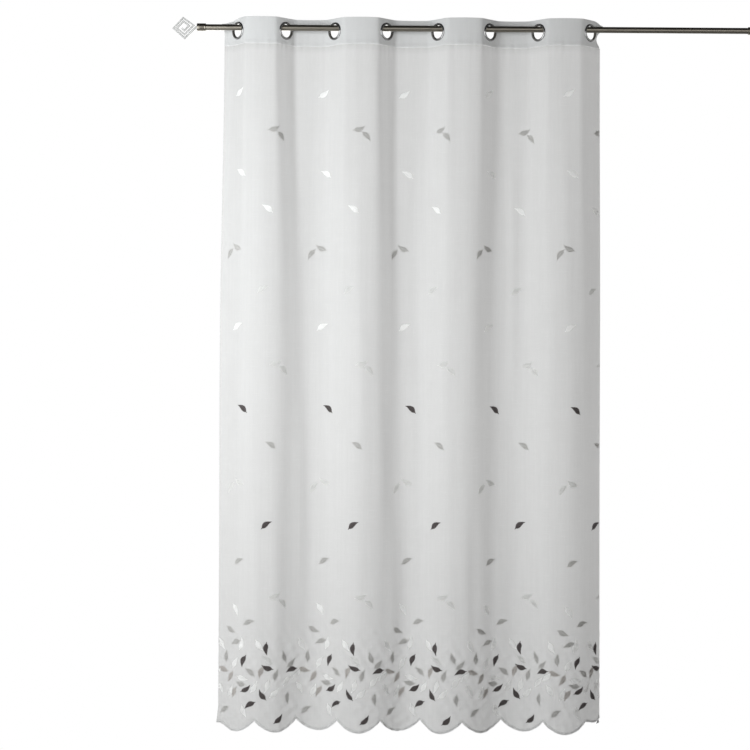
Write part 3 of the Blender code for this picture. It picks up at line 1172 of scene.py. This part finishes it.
BORDER_LEAVES = (
    Leaf(GREY, 0.301, -2.001, 20, -1.0),
    Leaf(GREY, 0.224, -2.031, -30),
    Leaf(GREY, 0.248, -2.070, 205),
    Leaf(DARK, 0.059, -2.089, -88, 1.0),
    Leaf(DARK, 0.280, -2.131, -107, 1.0),
    Leaf(PALE, 0.064, -2.128, 135),
    Leaf(GREY, 0.121, -2.118, 105, -0.6),
    Leaf(GREY, 0.147, -2.142, 50),
    Leaf(GREY, 0.204, -2.121, 88, -0.6),
    Leaf(DARK, 0.063, -2.154, 155, -1.0),
    Leaf(TAUPE, 0.040, -2.168, -105),
    Leaf(GREY, 0.091, -2.178, 75, -0.6),
    Leaf(GREY, 0.308, -2.168, 137),
    Leaf(DARK, 0.148, -2.164, 200, 1.0),
    Leaf(TAUPE, 0.193, -2.167, -20),
    Leaf(TAUPE, 0.223, -2.189, -116, -0.6),
    Leaf(GREY, 0.269, -2.209, 168, -0.6),
    Leaf(DARK, 0.289, -2.226, 40, 1.0),
    Leaf(DARK, 0.046, -2.245, 117, -1.0),
    Leaf(GREY, 0.134, -2.258, -88, 1.0),
    Leaf(TAUPE, 0.241, -2.239, -115),
    Leaf(DARK, 0.307, -2.277, 218, 1.0),
    Leaf(GREY, 0.199, -2.301, 40, -0.6),
    Leaf(DARK, 0.101, -2.328, 52, 1.0),
    Leaf(WHITE, 0.183, -2.080, -65),
    Leaf(WHITE, 0.246, -1.960, -65, -0.6),
    Leaf(WHITE, 0.272, -2.074, 80),
    Leaf(WHITE, 0.244, -2.140, 65, -0.6),
    Leaf(WHITE, 0.275, -2.190, -15),
    Leaf(WHITE, 0.014, -2.218, 65),
    Leaf(WHITE, 0.063, -2.215, -105, -0.6),
    Leaf(WHITE, 0.033, -2.078, -60),
    Leaf(WHITE, 0.281, -2.300, -70),
    Leaf(WHITE, 0.131, -2.199, 55, -0.6),
    Leaf(WHITE, 0.167, -2.180, 50),
    Leaf(WHITE, 0.087, -2.239, 50),
    Leaf(WHITE, 0.178, -2.226, -65, -0.6),
    Leaf(WHITE, 0.224, -2.236, 70),
)
FIELD_LEAVES = (
    Leaf(WHITE, 0.246, -0.219, 40),
    Leaf(GREY, 0.072, -0.344, 24, 1.0),
    Leaf(GREY, 0.097, -0.367, -54, -1.0),
    Leaf(WHITE, 0.259, -0.489, 144),
    Leaf(WHITE, 0.056, -0.611, 140),
    Leaf(GREY, 0.244, -0.741, 147, -1.0),
    Leaf(GREY, 0.211, -0.7605, 242, 1.0),
    Leaf(PALE, 0.042, -0.882, 35, -0.8),
    Leaf(WHITE, 0.250, -1.006, 35, -0.8),
    Leaf(PALE, 0.0875, -1.131, 24, 1.0),
    Leaf(PALE, 0.1146, -1.154, -52, -1.0),
    Leaf(DARK, 0.275, -1.283, 139, 1.0),
    Leaf(GREY, 0.073, -1.405, 143, 0.8),
    Leaf(PALE, 0.2595, -1.5306, 147, -1.0),
    Leaf(PALE, 0.222, -1.5505, 242, 1.0),
    Leaf(DARK, 0.058, -1.673, 40, -1.0),
    Leaf(GREY, 0.259, -1.797, 32, -1.0),
    Leaf(PALE, 0.086, -1.914, 24, 1.0),
    Leaf(PALE, 0.114, -1.938, -52, -1.0),
)
PRINT_DRIFT = (
    (0.13, -0.010), (0.20, -0.020), (0.35, -0.008), (0.52, 0.0), (0.95, 0.002),
    (1.07, 0.012), (1.14, 0.006), (1.31, 0.001), (1.44, -0.012), (1.487, -0.013),
    (1.493, -0.029),
)


@dataclass
class LeafEmbroidery:
    """Satin-stitched leaves, scattered in a border and thinly over the panel."""

    cloth: HungCloth
    threads: ThreadTree
    repeat: float = 2.0 * SCALLOP_PITCH
    length: float = 0.0445
    width: float = 0.0150
    stem_share: float = 0.10
    stem_half: float = 0.0008
    row_pitch: float = 0.00116
    slant: float = 0.045
    tip_share: float = 0.15
    belly: float = 0.72
    taper: float = 0.32
    sweep: float = 0.27
    sweep_rest: float = 0.25
    last_share: float = 0.995
    edge_clear: float = 0.002
    lift: float = 0.0001
    thread: Pair = (0.00142, 0.0011)
    turn_share: float = 0.8

    def half_width(self, share: float) -> float:
        """Half the leaf's width.

        Args:
            share: share of the way from its stem to its tip.

        Returns:
            The half width, in metres.
        """
        if share <= self.stem_share:
            return self.stem_half
        body = (share - self.stem_share) / (1.0 - self.stem_share)
        bulge = math.sin(math.pi * body**self.belly) * (1.0 - self.taper * body**2)
        return max(0.5 * self.width * bulge, self.tip_share * self.stem_half)

    def centre_line(self, share: float, bend: float) -> Pair:
        """Place on the leaf's midrib, from the leaf's middle, for a leaf to the right."""
        off = self.sweep * bend * self.length * (share**3 - share + self.sweep_rest)
        return (share - 0.5) * self.length, off

    def rows(self, bend: float) -> Array:
        """Stitches of one leaf that points to the right.

        Args:
            bend: which way and how much its tip curves.

        Returns:
            Start and end of each stitch, in metres from its middle.
        """
        count = round(self.length / self.row_pitch)
        stitches = []
        for row in range(count):
            share = row / count
            outer = min(share + self.slant, self.last_share)
            start = self.centre_line(share, bend)
            x, y = self.centre_line(outer, bend)
            half = self.half_width(outer)
            stitches += [(start, (x, y + half)), (start, (x, y - half))]
        return np.array(stitches)

    def flat_stitches(self, leaf: Leaf, middle: float) -> Array:
        """Stitches of one leaf on the flat cloth.

        Args:
            leaf: the leaf.
            middle: distance of its middle along the cloth.

        Returns:
            Start and end of each stitch: distance along, and height.
        """
        lean = math.radians(leaf.lean)
        turn = math.atan2(math.sin(lean), math.cos(lean) / self.turn_share)
        cosine, sine = math.cos(turn), math.sin(turn)
        stitches = self.rows(leaf.bend)
        x, y = stitches[..., 0], stitches[..., 1]
        along = middle + x * cosine - y * sine
        height = leaf.height + x * sine + y * cosine
        return np.stack((along, height), -1)

    def sew(self) -> list[Piece]:
        """Sew the leaves on the panel, one piece for each colour of thread.

        Returns:
            The pieces.
        """
        found: dict[ThreadShade, list[Array]] = {shade: [] for shade in ThreadShade}
        drift_at, drift = zip(*PRINT_DRIFT)
        for repeat in range(-1, math.ceil(self.cloth.length / self.repeat)):
            for leaf in (*BORDER_LEAVES, *FIELD_LEAVES):
                middle = FIRST_CUSP + repeat * self.repeat + leaf.along
                middle += float(np.interp(middle, drift_at, drift))
                stitches = self.flat_stitches(leaf, middle)
                along = stitches[..., 0]
                whole = along.min(axis=1) > self.edge_clear
                whole &= along.max(axis=1) < self.cloth.length - self.edge_clear
                found[leaf.shade].append(stitches[whole])
        pieces = []
        for shade, leaves in found.items():
            stitches = np.concatenate(leaves)
            points, facing = self.cloth.panel_surface(stitches[..., 0], stitches[..., 1])
            middles, _ = self.cloth.panel_surface(*np.moveaxis(stitches.mean(axis=1), -1, 0))
            swell = ((middles - points.mean(axis=1)) * facing.mean(axis=1)).sum(axis=1)
            rise = self.lift + np.maximum(swell, 0.0)
            points = points + facing * rise[:, None, None]
            piece = self.threads.sew(
                "leaves_" + shade.name.lower(), points[:, 0], points[:, 1],
                facing.mean(axis=1), self.thread, shade.value.make(),
            )
            pieces.append(ride(piece, "voile"))
        return pieces


@dataclass
class HemStitching:
    """Whip stitches close together round the scalloped edge."""

    cloth: HungCloth
    threads: ThreadTree
    pitch: float = 0.00125
    reach: float = 0.0046
    reach_spread: Pair = (0.82, 1.12)
    over: float = 0.0006
    slant: float = 0.0009
    feel: float = 0.002
    samples: int = 6000
    thread: Pair = (0.0012, 0.0011)
    seed: int = 4

    def sew(self) -> Piece:
        """Sew the edge.

        Returns:
            The piece.
        """
        fine = np.linspace(0.0, self.cloth.length, self.samples)
        edge = np.stack((fine, self.cloth.hem_height(fine)), -1)
        gone = np.concatenate(([0.0], np.cumsum(np.linalg.norm(np.diff(edge, axis=0), axis=1))))
        stops = np.arange(0.5 * self.pitch, gone[-1], self.pitch)
        spots, ahead, behind = (
            np.stack([np.interp(stops + shift, gone, edge[:, axis]) for axis in (0, 1)], -1)
            for shift in (0.0, self.feel, -self.feel)
        )
        run = ahead - behind
        run /= np.linalg.norm(run, axis=1)[:, None]
        inward = np.stack((-run[:, 1], run[:, 0]), -1)
        draw = np.random.default_rng(self.seed)
        reach = self.reach * draw.uniform(*self.reach_spread, len(stops))[:, None]
        starts = spots - inward * self.over
        ends = spots + inward * reach + run * self.slant
        ends[:, 0] = np.clip(ends[:, 0], 0.0, self.cloth.length)
        points, facing = self.cloth.panel_surface(*np.moveaxis(np.stack((starts, ends), 1), -1, 0))
        piece = self.threads.sew(
            "hem_stitches", points[:, 0], points[:, 1], facing.mean(axis=1), self.thread,
            HEM_THREAD.make(),
        )
        return ride(piece, "voile")


@dataclass
class Panel:
    """Sheer panel from the heading's seam to the scalloped hem."""

    cloth: HungCloth
    columns: int = 404
    rows: int = 232
    samples: int = 2000
    seam_density: Pair = (3.2, 0.03)
    border_density: Pair = (2.2, 0.13)
    flat_width: float = 1.4586
    flat_drop: float = 2.312
    scallop_share: float = 0.995

    def row_shares(self) -> Array:
        """Place the rows, closer together near the seam and in the border.

        Returns:
            Each row's share of the way down.
        """
        share = np.linspace(0.0, 1.0, self.samples)
        seam, seam_fade = self.seam_density
        border, border_fade = self.border_density
        dense = 1.0 + seam * np.exp(-share / seam_fade)
        dense = dense + border * np.exp((share - 1.0) / border_fade)
        gone = np.concatenate(([0.0], np.cumsum(dense[1:])))
        return np.interp(np.linspace(0.0, gone[-1], self.rows), gone, share)

    def build(self) -> Piece:
        """Make the cloth.

        Returns:
            The piece.
        """
        along = np.linspace(0.0, self.cloth.length, self.columns)
        top = HEADING_BOTTOM - GAP
        shares = self.row_shares()[:, None]
        height = top + (self.cloth.hem_height(along)[None, :] - top) * shares
        along = np.broadcast_to(along[None, :], height.shape)
        points, _ = self.cloth.panel_surface(along, height)
        index = np.arange(self.rows * self.columns).reshape(self.rows, self.columns)
        faces = np.stack(
            (index[:-1, :-1], index[1:, :-1], index[1:, 1:], index[:-1, 1:]), -1
        ).reshape(-1, 4)
        piece = mesh_piece(
            "panel_cloth", points.reshape(-1, 3).tolist(), faces.tolist(), VOILE.make()
        )
        lay_cloth_map(piece.data, np.stack((along, height), -1).reshape(-1, 2))
        return ride(piece, "voile", "panel")


@dataclass
class Heading:
    """Folded and stiffened band with a hole for each eyelet."""

    cloth: HungCloth
    threads: ThreadTree
    cell: float = 0.0042
    hole_sides: int = 64
    cut_tolerance: float = 1e-6
    hole_clear: float = 0.002
    ring_clear: float = 0.0016
    clamp_fade: float = 0.012
    thickness: float = 0.0016
    welt_height: float = -0.0525
    welt_width: float = 0.0042
    welt: float = 0.0013
    stitch_height: float = -0.0540
    stitch_pitch: float = 0.0042
    stitch_length: float = 0.0033
    stitch_lift: float = 0.0001
    thread: Pair = (0.0007, 0.0007)

    def from_eyelet(self, flat: Array) -> Array:
        """Distance of each place on the flat cloth from the nearest eyelet's middle."""
        along, height = flat[:, 0], flat[:, 1] + EYELET_DROP
        return np.min([np.hypot(along - mark, height) for mark in self.cloth.head.marks], axis=0)

    def pattern(self) -> tuple[Array, list[tuple[int, ...]]]:
        """Cut the flat band.

        Returns:
            Places on the flat cloth, and triangles.
        """
        points: list[Pair] = []
        edges = []
        for mark in self.cloth.head.marks:
            for radius in (HOLE_RADIUS, SEAT_RADIUS):
                first = len(points)
                for side in range(self.hole_sides):
                    angle = 2.0 * math.pi * side / self.hole_sides
                    points.append(
                        (mark + radius * math.cos(angle), radius * math.sin(angle) - EYELET_DROP)
                    )
                    edges.append((first + side, first + (side + 1) % self.hole_sides))
        columns = round(self.cloth.length / self.cell)
        rows = round((HEADING_TOP - HEADING_BOTTOM) / self.cell)
        spots = [
            (self.cloth.length * column / columns, mix(HEADING_BOTTOM, HEADING_TOP, row / rows))
            for column in range(columns + 1) for row in range(rows + 1)
        ]
        away = self.from_eyelet(np.array(spots))
        free = (away > HOLE_RADIUS + self.hole_clear) & (abs(away - SEAT_RADIUS) > self.ring_clear)
        points += [spot for spot, is_free in zip(spots, free) if is_free]
        cut = delaunay_2d_cdt(points, edges, [], 0, self.cut_tolerance)
        flat = np.array([tuple(point) for point in cut[0]])
        triangles = np.array(cut[2])
        away = self.from_eyelet(flat[triangles].mean(axis=1))
        return flat, [tuple(corners) for corners in triangles[away > HOLE_RADIUS].tolist()]

    def hang(self, along: float, height: float) -> tuple[float, float, float, float]:
        """Hang a point of the band, with its limp outer corners.

        Args:
            along: distance along the cloth.
            height: height if the band were upright.

        Returns:
            X, Y, Z and the bearing.
        """
        head = self.cloth.head
        x, y, bearing = head.at(along)
        edge, beyond, pivot = LEFT_EDGE, head.marks[0] - along, LEFT_EDGE.margin
        if along > 0.5 * self.cloth.length:
            edge, beyond = RIGHT_EDGE, along - head.marks[-1]
            pivot = head.marks[-1] + SEAT_RADIUS
        if beyond < min(edge.corner_start, SEAT_RADIUS):
            return x, y, height, bearing
        pivot_x, pivot_y, flank_bearing = head.at(pivot)
        if beyond > SEAT_RADIUS:
            level = (height - CURL_HEIGHT) / CURL_REACH
            curl = math.radians(edge.curl) * math.exp(-0.5 * level * level)
            shift_x, shift_y = x - pivot_x, y - pivot_y
            x = pivot_x + shift_x * math.cos(curl) - shift_y * math.sin(curl)
            y = pivot_y + shift_x * math.sin(curl) + shift_y * math.cos(curl)
            bearing += curl
        hinge = math.sqrt(max(SEAT_RADIUS**2 - beyond**2, 0.0)) - EYELET_DROP
        if height > hinge:
            width = edge.margin + SEAT_RADIUS - edge.corner_start
            share = min((beyond - edge.corner_start) / width, 1.0)
            fall = edge.corner_fall * math.sin(0.5 * math.pi * share) ** edge.corner_ease
            upright = 1.0 - fall / (HEADING_TOP - hinge)
            leaning = CORNER_LEAN * (height - hinge) * math.sqrt(1.0 - upright**2)
            height = hinge + (height - hinge) * upright
            x += leaning * math.sin(flank_bearing)
            y -= leaning * math.cos(flank_bearing)
        return x, y, height, bearing

    def surface(self, flat: Array, off: Array) -> tuple[Array, Array]:
        """Points before or behind the band's middle.

        Args:
            flat: places on the flat cloth.
            off: how far before the middle each point lies.

        Returns:
            The points, and the directions that face the front there.
        """
        hung = np.array([self.hang(*place) for place in flat])
        facing = front_of(hung[:, 3])
        return hung[:, :3] + facing * off[:, None], facing

    def rise(self, flat: Array) -> Array:
        """Puckers and a soft welt by the seam, none where an eyelet clamps the band.

        Args:
            flat: places on the flat cloth.

        Returns:
            The rise to the front.
        """
        away = self.from_eyelet(flat)
        free = np.clip((away - SEAT_RADIUS) / self.clamp_fade, 0.0, 1.0)
        level = (flat[:, 1] - self.welt_height) / self.welt_width
        welt = self.welt * np.exp(-level * level)
        return (self.cloth.relief.seam(flat[:, 0], flat[:, 1]) + welt) * free

    def build(self) -> Piece:
        """Make the band as one thin closed cloth.

        Returns:
            The piece.
        """
        flat, triangles = self.pattern()
        rise = self.rise(flat)
        half = 0.5 * self.thickness
        front, _ = self.surface(flat, rise + half)
        back, _ = self.surface(flat, rise - half)
        count = len(flat)
        faces = list(triangles)
        faces += [tuple(count + corner for corner in reversed(face)) for face in triangles]
        sides = [side for face in triangles for side in zip(face, (*face[1:], face[0]))]
        inner = set(sides)
        for start, end in sides:
            if (end, start) not in inner:
                faces.append((end, start, count + start, count + end))
        piece = mesh_piece(
            "heading_band", np.concatenate((front, back)).tolist(), faces, BAND.make(), SHARP_CLOTH
        )
        lay_cloth_map(piece.data, np.concatenate((flat, flat)))
        return ride(piece, "heading_band", "heading")

    def topstitch(self) -> Piece:
        """Sew the row of stitches over the seam, seen on both faces.

        Returns:
            The piece.
        """
        end = self.cloth.length - self.stitch_pitch
        starts = np.arange(self.stitch_pitch, end, self.stitch_pitch)
        laid = []
        for side in (1.0, -1.0):
            ends = []
            for shift in (0.0, self.stitch_length):
                flat = np.stack((starts + shift, np.full_like(starts, self.stitch_height)), -1)
                off = self.rise(flat) + side * (0.5 * self.thickness + self.stitch_lift)
                ends.append(self.surface(flat, off))
            laid.append((ends[0][0], ends[1][0], side * ends[0][1]))
        first, last, facing = (np.concatenate(part) for part in zip(*laid))
        piece = self.threads.sew(
            "heading_topstitch", first, last, facing, self.thread, SEAM_THREAD.make()
        )
        return ride(piece, "heading_band")


@dataclass
class Eyelets:
    """Front ring with its barrel, and back ring, of each eyelet."""

    cloth: HungCloth
    sides: int = 72
    barrel_inside: float = 0.0220
    barrel_outside: float = 0.0242
    ring_outside: float = 0.0300
    back_inside: float = 0.0245
    front_height: float = 0.0031
    back_height: float = 0.0026
    steps: int = 10
    roll_steps: int = 6
    barrel_reach: float = 0.0008
    seat: float = 0.5 * HEADING_THICKNESS + GAP

    def front_profile(self) -> list[Pair]:
        """Draw the front ring and its rolled barrel.

        Returns:
            Its closed section: radius and distance of each point.
        """
        half = 0.5 * (self.barrel_outside - self.barrel_inside)
        middle = self.barrel_inside + half
        profile = [(self.barrel_outside, -self.seat)]
        for step in range(self.roll_steps + 1):
            angle = math.pi * step / self.roll_steps
            out = self.seat + self.barrel_reach + half * math.sin(angle)
            profile.append((middle + half * math.cos(angle), out))
        rim = dome(self.barrel_inside, self.ring_outside, self.front_height, self.steps)
        return profile + [(radius, -self.seat - rise) for radius, rise in rim]

    def back_profile(self) -> list[Pair]:
        """Closed section of the back ring."""
        rim = dome(self.back_inside, self.ring_outside, self.back_height, self.steps)
        return [(radius, self.seat + rise) for radius, rise in reversed(rim)]

    def build(self) -> list[Piece]:
        """Make the rings and press them on the band.

        Returns:
            The pieces.
        """
        finish = NICKEL.make()
        made = []
        for side, profile in (("front", self.front_profile()), ("back", self.back_profile())):
            points, faces = turned(profile, self.sides, True)
            for number, mark in enumerate(self.cloth.head.marks, 1):
                x, y, bearing = self.cloth.head.at(mark)
                to_place = Matrix.Translation((x, y, -EYELET_DROP))
                to_place @= Matrix.Rotation(bearing, 4, "Z")
                placed = [to_place @ point for point in points]
                piece = mesh_piece(f"ring_{number}_{side}", placed, faces, finish, SHARP_METAL)
                made.append(ride(piece, "eyelet_nickel", f"eyelet_{number}_{side}"))
        return made


class Corner(NamedTuple):
    """Corner of the finial's square spiral, from the middle of the cap's end."""

    across: float
    up: float


FINIAL_CORNERS = (
    Corner(-GAP, 0.0),
    Corner(-0.0035, 0.0),
    Corner(-0.0410, -0.0375),
    Corner(-0.0790, -0.0045),
    Corner(-0.0465, 0.0305),
    Corner(-0.0115, 0.0055),
    Corner(-0.0420, -0.0255),
    Corner(-0.0680, -0.0045),
    Corner(-0.0455, 0.0190),
    Corner(-0.0265, 0.0045),
    Corner(-0.0430, -0.0120),
    Corner(-0.0515, -0.0035),
)


@dataclass
class Pole:
    """Rod, end caps and square-spiral finial."""

    sides: int = 96
    tube_wall: float = 0.001
    tube_edge: float = 0.00025
    cap_radius: float = 0.0127
    cap_length: float = 0.030
    cap_edge: float = 0.0018
    edge_steps: int = 5
    groove_inset: float = 0.0052
    groove_step: float = 0.0006
    groove_depth: float = 0.0004
    lip: float = 0.0007
    bar_width: float = 0.0052
    bar_depth: float = 0.0060
    bar_bevel: float = 0.0011
    softness: float = 0.3

    def _along_x(
        self, name: str, profile: Sequence[Pair], closed: bool, origin: float,
        way: float, finish: Material,
    ) -> Piece:
        """Turn a profile and lay it along X.

        Args:
            name: the piece's name.
            profile: radius and distance of its points.
            closed: whether the profile is a closed outline.
            origin: X of distance 0.
            way: 1 if distances run to the right, -1 if to the left.
            finish: its material.

        Returns:
            The piece.
        """
        points, faces = turned(profile, self.sides, closed)
        turn = Matrix.Rotation(-0.5 * math.pi * way, 4, "Z")
        to_place = Matrix.Translation((origin, 0.0, 0.0)) @ turn
        placed = [to_place @ point for point in points]
        return mesh_piece(name, placed, faces, finish, SHARP_METAL)

    def rod(self, finish: Material) -> Piece:
        """Make the hollow tube, with rounded mouths inside its caps.

        Args:
            finish: its material.

        Returns:
            The piece.
        """
        edge = self.tube_edge
        inside = ROD_RADIUS - self.tube_wall
        length = ROD_RIGHT_END - ROD_LEFT_END
        profile = [
            (ROD_RADIUS - edge, 0.0), (ROD_RADIUS, edge), (ROD_RADIUS, length - edge),
            (ROD_RADIUS - edge, length), (inside + edge, length), (inside, length - edge),
            (inside, edge), (inside + edge, 0.0),
        ]
        piece = self._along_x("rod_tube", profile, True, ROD_LEFT_END, 1.0, finish)
        return ride(piece, "rod_pewter", "rod")

    def cap_profile(self) -> list[Pair]:
        """Draw a cap, from the middle of its closed end.

        Returns:
            Radius and distance of each point.
        """
        outer, lip, bore = self.cap_radius, self.lip, ROD_RADIUS + GAP
        profile = [(0.0, 0.0), (outer - self.cap_edge, 0.0)]
        for step in range(1, self.edge_steps + 1):
            angle = 0.5 * math.pi * step / self.edge_steps
            profile.append((
                outer - self.cap_edge * (1.0 - math.sin(angle)),
                self.cap_edge * (1.0 - math.cos(angle)),
            ))
        groove, step = self.cap_length - self.groove_inset, self.groove_step
        floor = outer - self.groove_depth
        soft = self.softness * lip
        return profile + [
            (outer, groove - step), (floor, groove), (floor, groove + step),
            (outer, groove + 2.0 * step), (outer, self.cap_length - lip),
            (outer - soft, self.cap_length - soft), (outer - lip, self.cap_length),
            (bore, self.cap_length), (bore, CAP_WALL), (0.0, CAP_WALL),
        ]

    def caps(self, finish: Material) -> list[Piece]:
        """Make the cap on each end of the rod.

        Args:
            finish: their material.

        Returns:
            The left and the right cap.
        """
        profile = self.cap_profile()
        ends = (
            ("left", ROD_LEFT_END - CAP_OVERHANG, 1.0),
            ("right", ROD_RIGHT_END + CAP_OVERHANG, -1.0),
        )
        made = []
        for side, end, way in ends:
            cap = self._along_x(f"cap_{side}_shell", profile, False, end, way, finish)
            made.append(ride(cap, "rod_pewter", f"cap_{side}"))
        return made

    def section(self) -> list[Pair]:
        """Draw the finial's bar with its bevelled edges.

        Returns:
            For each point its side, as a share of the half width, and its depth.
        """
        half, bevel = 0.5 * self.bar_depth, self.bar_bevel
        flat = 1.0 - bevel / (0.5 * self.bar_width)
        soft = 1.0 - self.softness * bevel / (0.5 * self.bar_width)
        edge = [(flat, half), (soft, half - self.softness * bevel), (1.0, half - bevel)]
        right = [(share, -depth) for share, depth in edge] + edge[::-1]
        return right + [(-share, depth) for share, depth in right[::-1]]

    def finial(self, finish: Material) -> Piece:
        """Bend the bevelled bar into a square spiral with mitred corners.

        Args:
            finish: its material.

        Returns:
            The piece, with each point's side of the bar for its finish to read.
        """
        path = [Vector(corner) for corner in FINIAL_CORNERS]
        path = [2 * path[0] - path[1], *path, 2 * path[-1] - path[-2]]
        section = self.section()
        points = []
        for before, corner, after in zip(path, path[1:], path[2:]):
            into = (corner - before).normalized()
            out = (after - corner).normalized()
            side = Vector((-into.y - out.y, into.x + out.x))
            side *= self.bar_width / side.length_squared
            for share, depth in section:
                across, up = corner + side * share
                points.append((ROD_LEFT_END - CAP_OVERHANG + across, depth, up))
        count = len(section)
        faces = []
        for start in range(0, len(points) - count, count):
            for corner in range(count):
                following = (corner + 1) % count
                near, far = start + corner, start + following
                faces.append((near, near + count, far + count, far))
        faces.append(tuple(range(count)))
        faces.append(tuple(range(len(points) - 1, len(points) - count - 1, -1)))
        piece = mesh_piece("finial_bar", points, faces, finish, SHARP_BAR)
        across = [share for _ in FINIAL_CORNERS for share, _ in section]
        piece.data.attributes.new(BAR_MAP, "FLOAT", "POINT").data.foreach_set("value", across)
        return ride(piece, "finial_silver", "finial")

    def build(self) -> list[Piece]:
        """Make every piece of the pole."""
        pewter = PEWTER.make()
        return [self.rod(pewter), *self.caps(pewter), self.finial(SILVER.make())]


# Studio


class Lamp(NamedTuple):
    """Soft box: where it is, what it looks at, its width and height, power and colour."""

    name: str
    place: Triple
    target: Triple
    width: float
    height: float
    power: float
    colour: Colour


LAMPS = (
    Lamp("key", (-1.25, -1.3, -0.6), (0.0, 0.0, -1.0), 0.5, 1.8, 19.0, (0.955, 0.99, 1.0)),
    Lamp("low", (-1.4, -1.6, -1.9), (0.0, 0.0, -1.4), 1.2, 1.2, 8.3, (1.0, 1.0, 1.0)),
    Lamp("behind", (-0.6, 1.8, -0.6), (0.0, 0.0, -1.2), 1.6, 1.6, 33.6, (1.0, 0.99, 0.96)),
)


@dataclass
class Studio:
    """Camera, lights, surroundings and floor."""

    camera_place: Triple = (-0.1166, -6.3, -1.1685)
    camera_roll: float = -0.40
    lens: float = 89.7
    sensor: float = 36.0
    floor_height: float = -2.56
    floor_front: float = -2.6
    floor_back: float = 0.55
    floor_half: float = 2.4
    surround: tuple[Pair, ...] = (
        (-1.0, 0.20), (-0.42, 0.16), (-0.28, 1.0), (0.10, 1.0), (0.22, 0.03), (1.0, 0.03),
    )
    surround_tint: Colour = (1.0, 0.995, 0.98)
    surround_power: float = 1.32

    def camera(self) -> None:
        """Make the camera at the photograph's place."""
        data = bpy.data.cameras.new("camera")
        data.lens = self.lens
        data.sensor_width = self.sensor
        camera = put("camera", data)
        camera.location = self.camera_place
        camera.rotation_euler = (0.5 * math.pi, math.radians(self.camera_roll), 0.0)
        bpy.context.scene.camera = camera

    def lamps(self) -> None:
        """Make the soft lights."""
        for lamp in LAMPS:
            data = bpy.data.lights.new(lamp.name, "AREA")
            data.shape = "RECTANGLE"
            data.size, data.size_y = lamp.width, lamp.height
            data.energy, data.color = lamp.power, lamp.colour
            light = put(lamp.name, data)
            light.location = lamp.place
            aim = Vector(lamp.target) - Vector(lamp.place)
            light.rotation_euler = aim.to_track_quat("-Z", "Y").to_euler()
            light.visible_camera = False

    def surroundings(self) -> None:
        """Make the world: white behind the curtain, graded light all round."""
        world = bpy.data.worlds.new("studio")
        world.use_nodes = True
        tree = TreeWriter(world.node_tree)
        direction = tree.add("ShaderNodeTexCoord").outputs["Generated"]
        up = tree.add("ShaderNodeSeparateXYZ", {0: direction}).outputs[2]
        graded = tree.add("ShaderNodeValToRGB", {0: tree.spread(up, -1.0, 1.0)})
        stops = graded.color_ramp.elements
        while len(stops) < len(self.surround):
            stops.new(0.5)
        for stop, (height, value) in zip(stops, self.surround):
            stop.position = 0.5 + 0.5 * height
            stop.color = (*(value * part for part in self.surround_tint), 1.0)
        around = tree.add(
            "ShaderNodeBackground", {0: graded.outputs[0], 1: self.surround_power}
        )
        behind = tree.add("ShaderNodeBackground", {0: (1.0, 1.0, 1.0, 1.0), 1: 1.0})
        seen = tree.add("ShaderNodeLightPath").outputs["Is Camera Ray"]
        both = tree.add(
            "ShaderNodeMixShader", {0: seen, 1: around.outputs[0], 2: behind.outputs[0]}
        )
        tree.add("ShaderNodeOutputWorld", {0: both.outputs[0]})
        bpy.context.scene.world = world

    def floor(self) -> None:
        """Make the pale floor under the curtain."""
        left, right = -self.floor_half, self.floor_half
        front, back = self.floor_front, self.floor_back
        points = [
            (x, y, self.floor_height)
            for x, y in ((left, front), (right, front), (right, back), (left, back))
        ]
        mesh_piece("floor", points, [(0, 1, 2, 3)], PALE_FLOOR.make())

    def build(self) -> None:
        """Set up the studio."""
        bpy.context.scene.view_settings.view_transform = "Standard"
        self.camera()
        self.lamps()
        self.surroundings()
        self.floor()


def main() -> None:
    """Build and dress the curtain, piece by piece."""
    logging.basicConfig(level=logging.INFO, format="%(name)s: %(message)s")
    cloth = HungCloth()
    threads = ThreadTree()
    Studio().build()
    pole = Pole().build()
    rings = Eyelets(cloth).build()
    heading_maker = Heading(cloth, threads)
    heading = heading_maker.build()
    topstitch = heading_maker.topstitch()
    panel_maker = Panel(cloth)
    panel = panel_maker.build()
    leaves = LeafEmbroidery(cloth, threads).sew()
    hem = HemStitching(cloth, threads).sew()
    for piece in (*pole, *rings, heading, topstitch, panel, *leaves, hem):
        LOG.info("%s: %d faces", piece.name, len(piece.data.polygons))


if __name__ == "__main__":
    main()
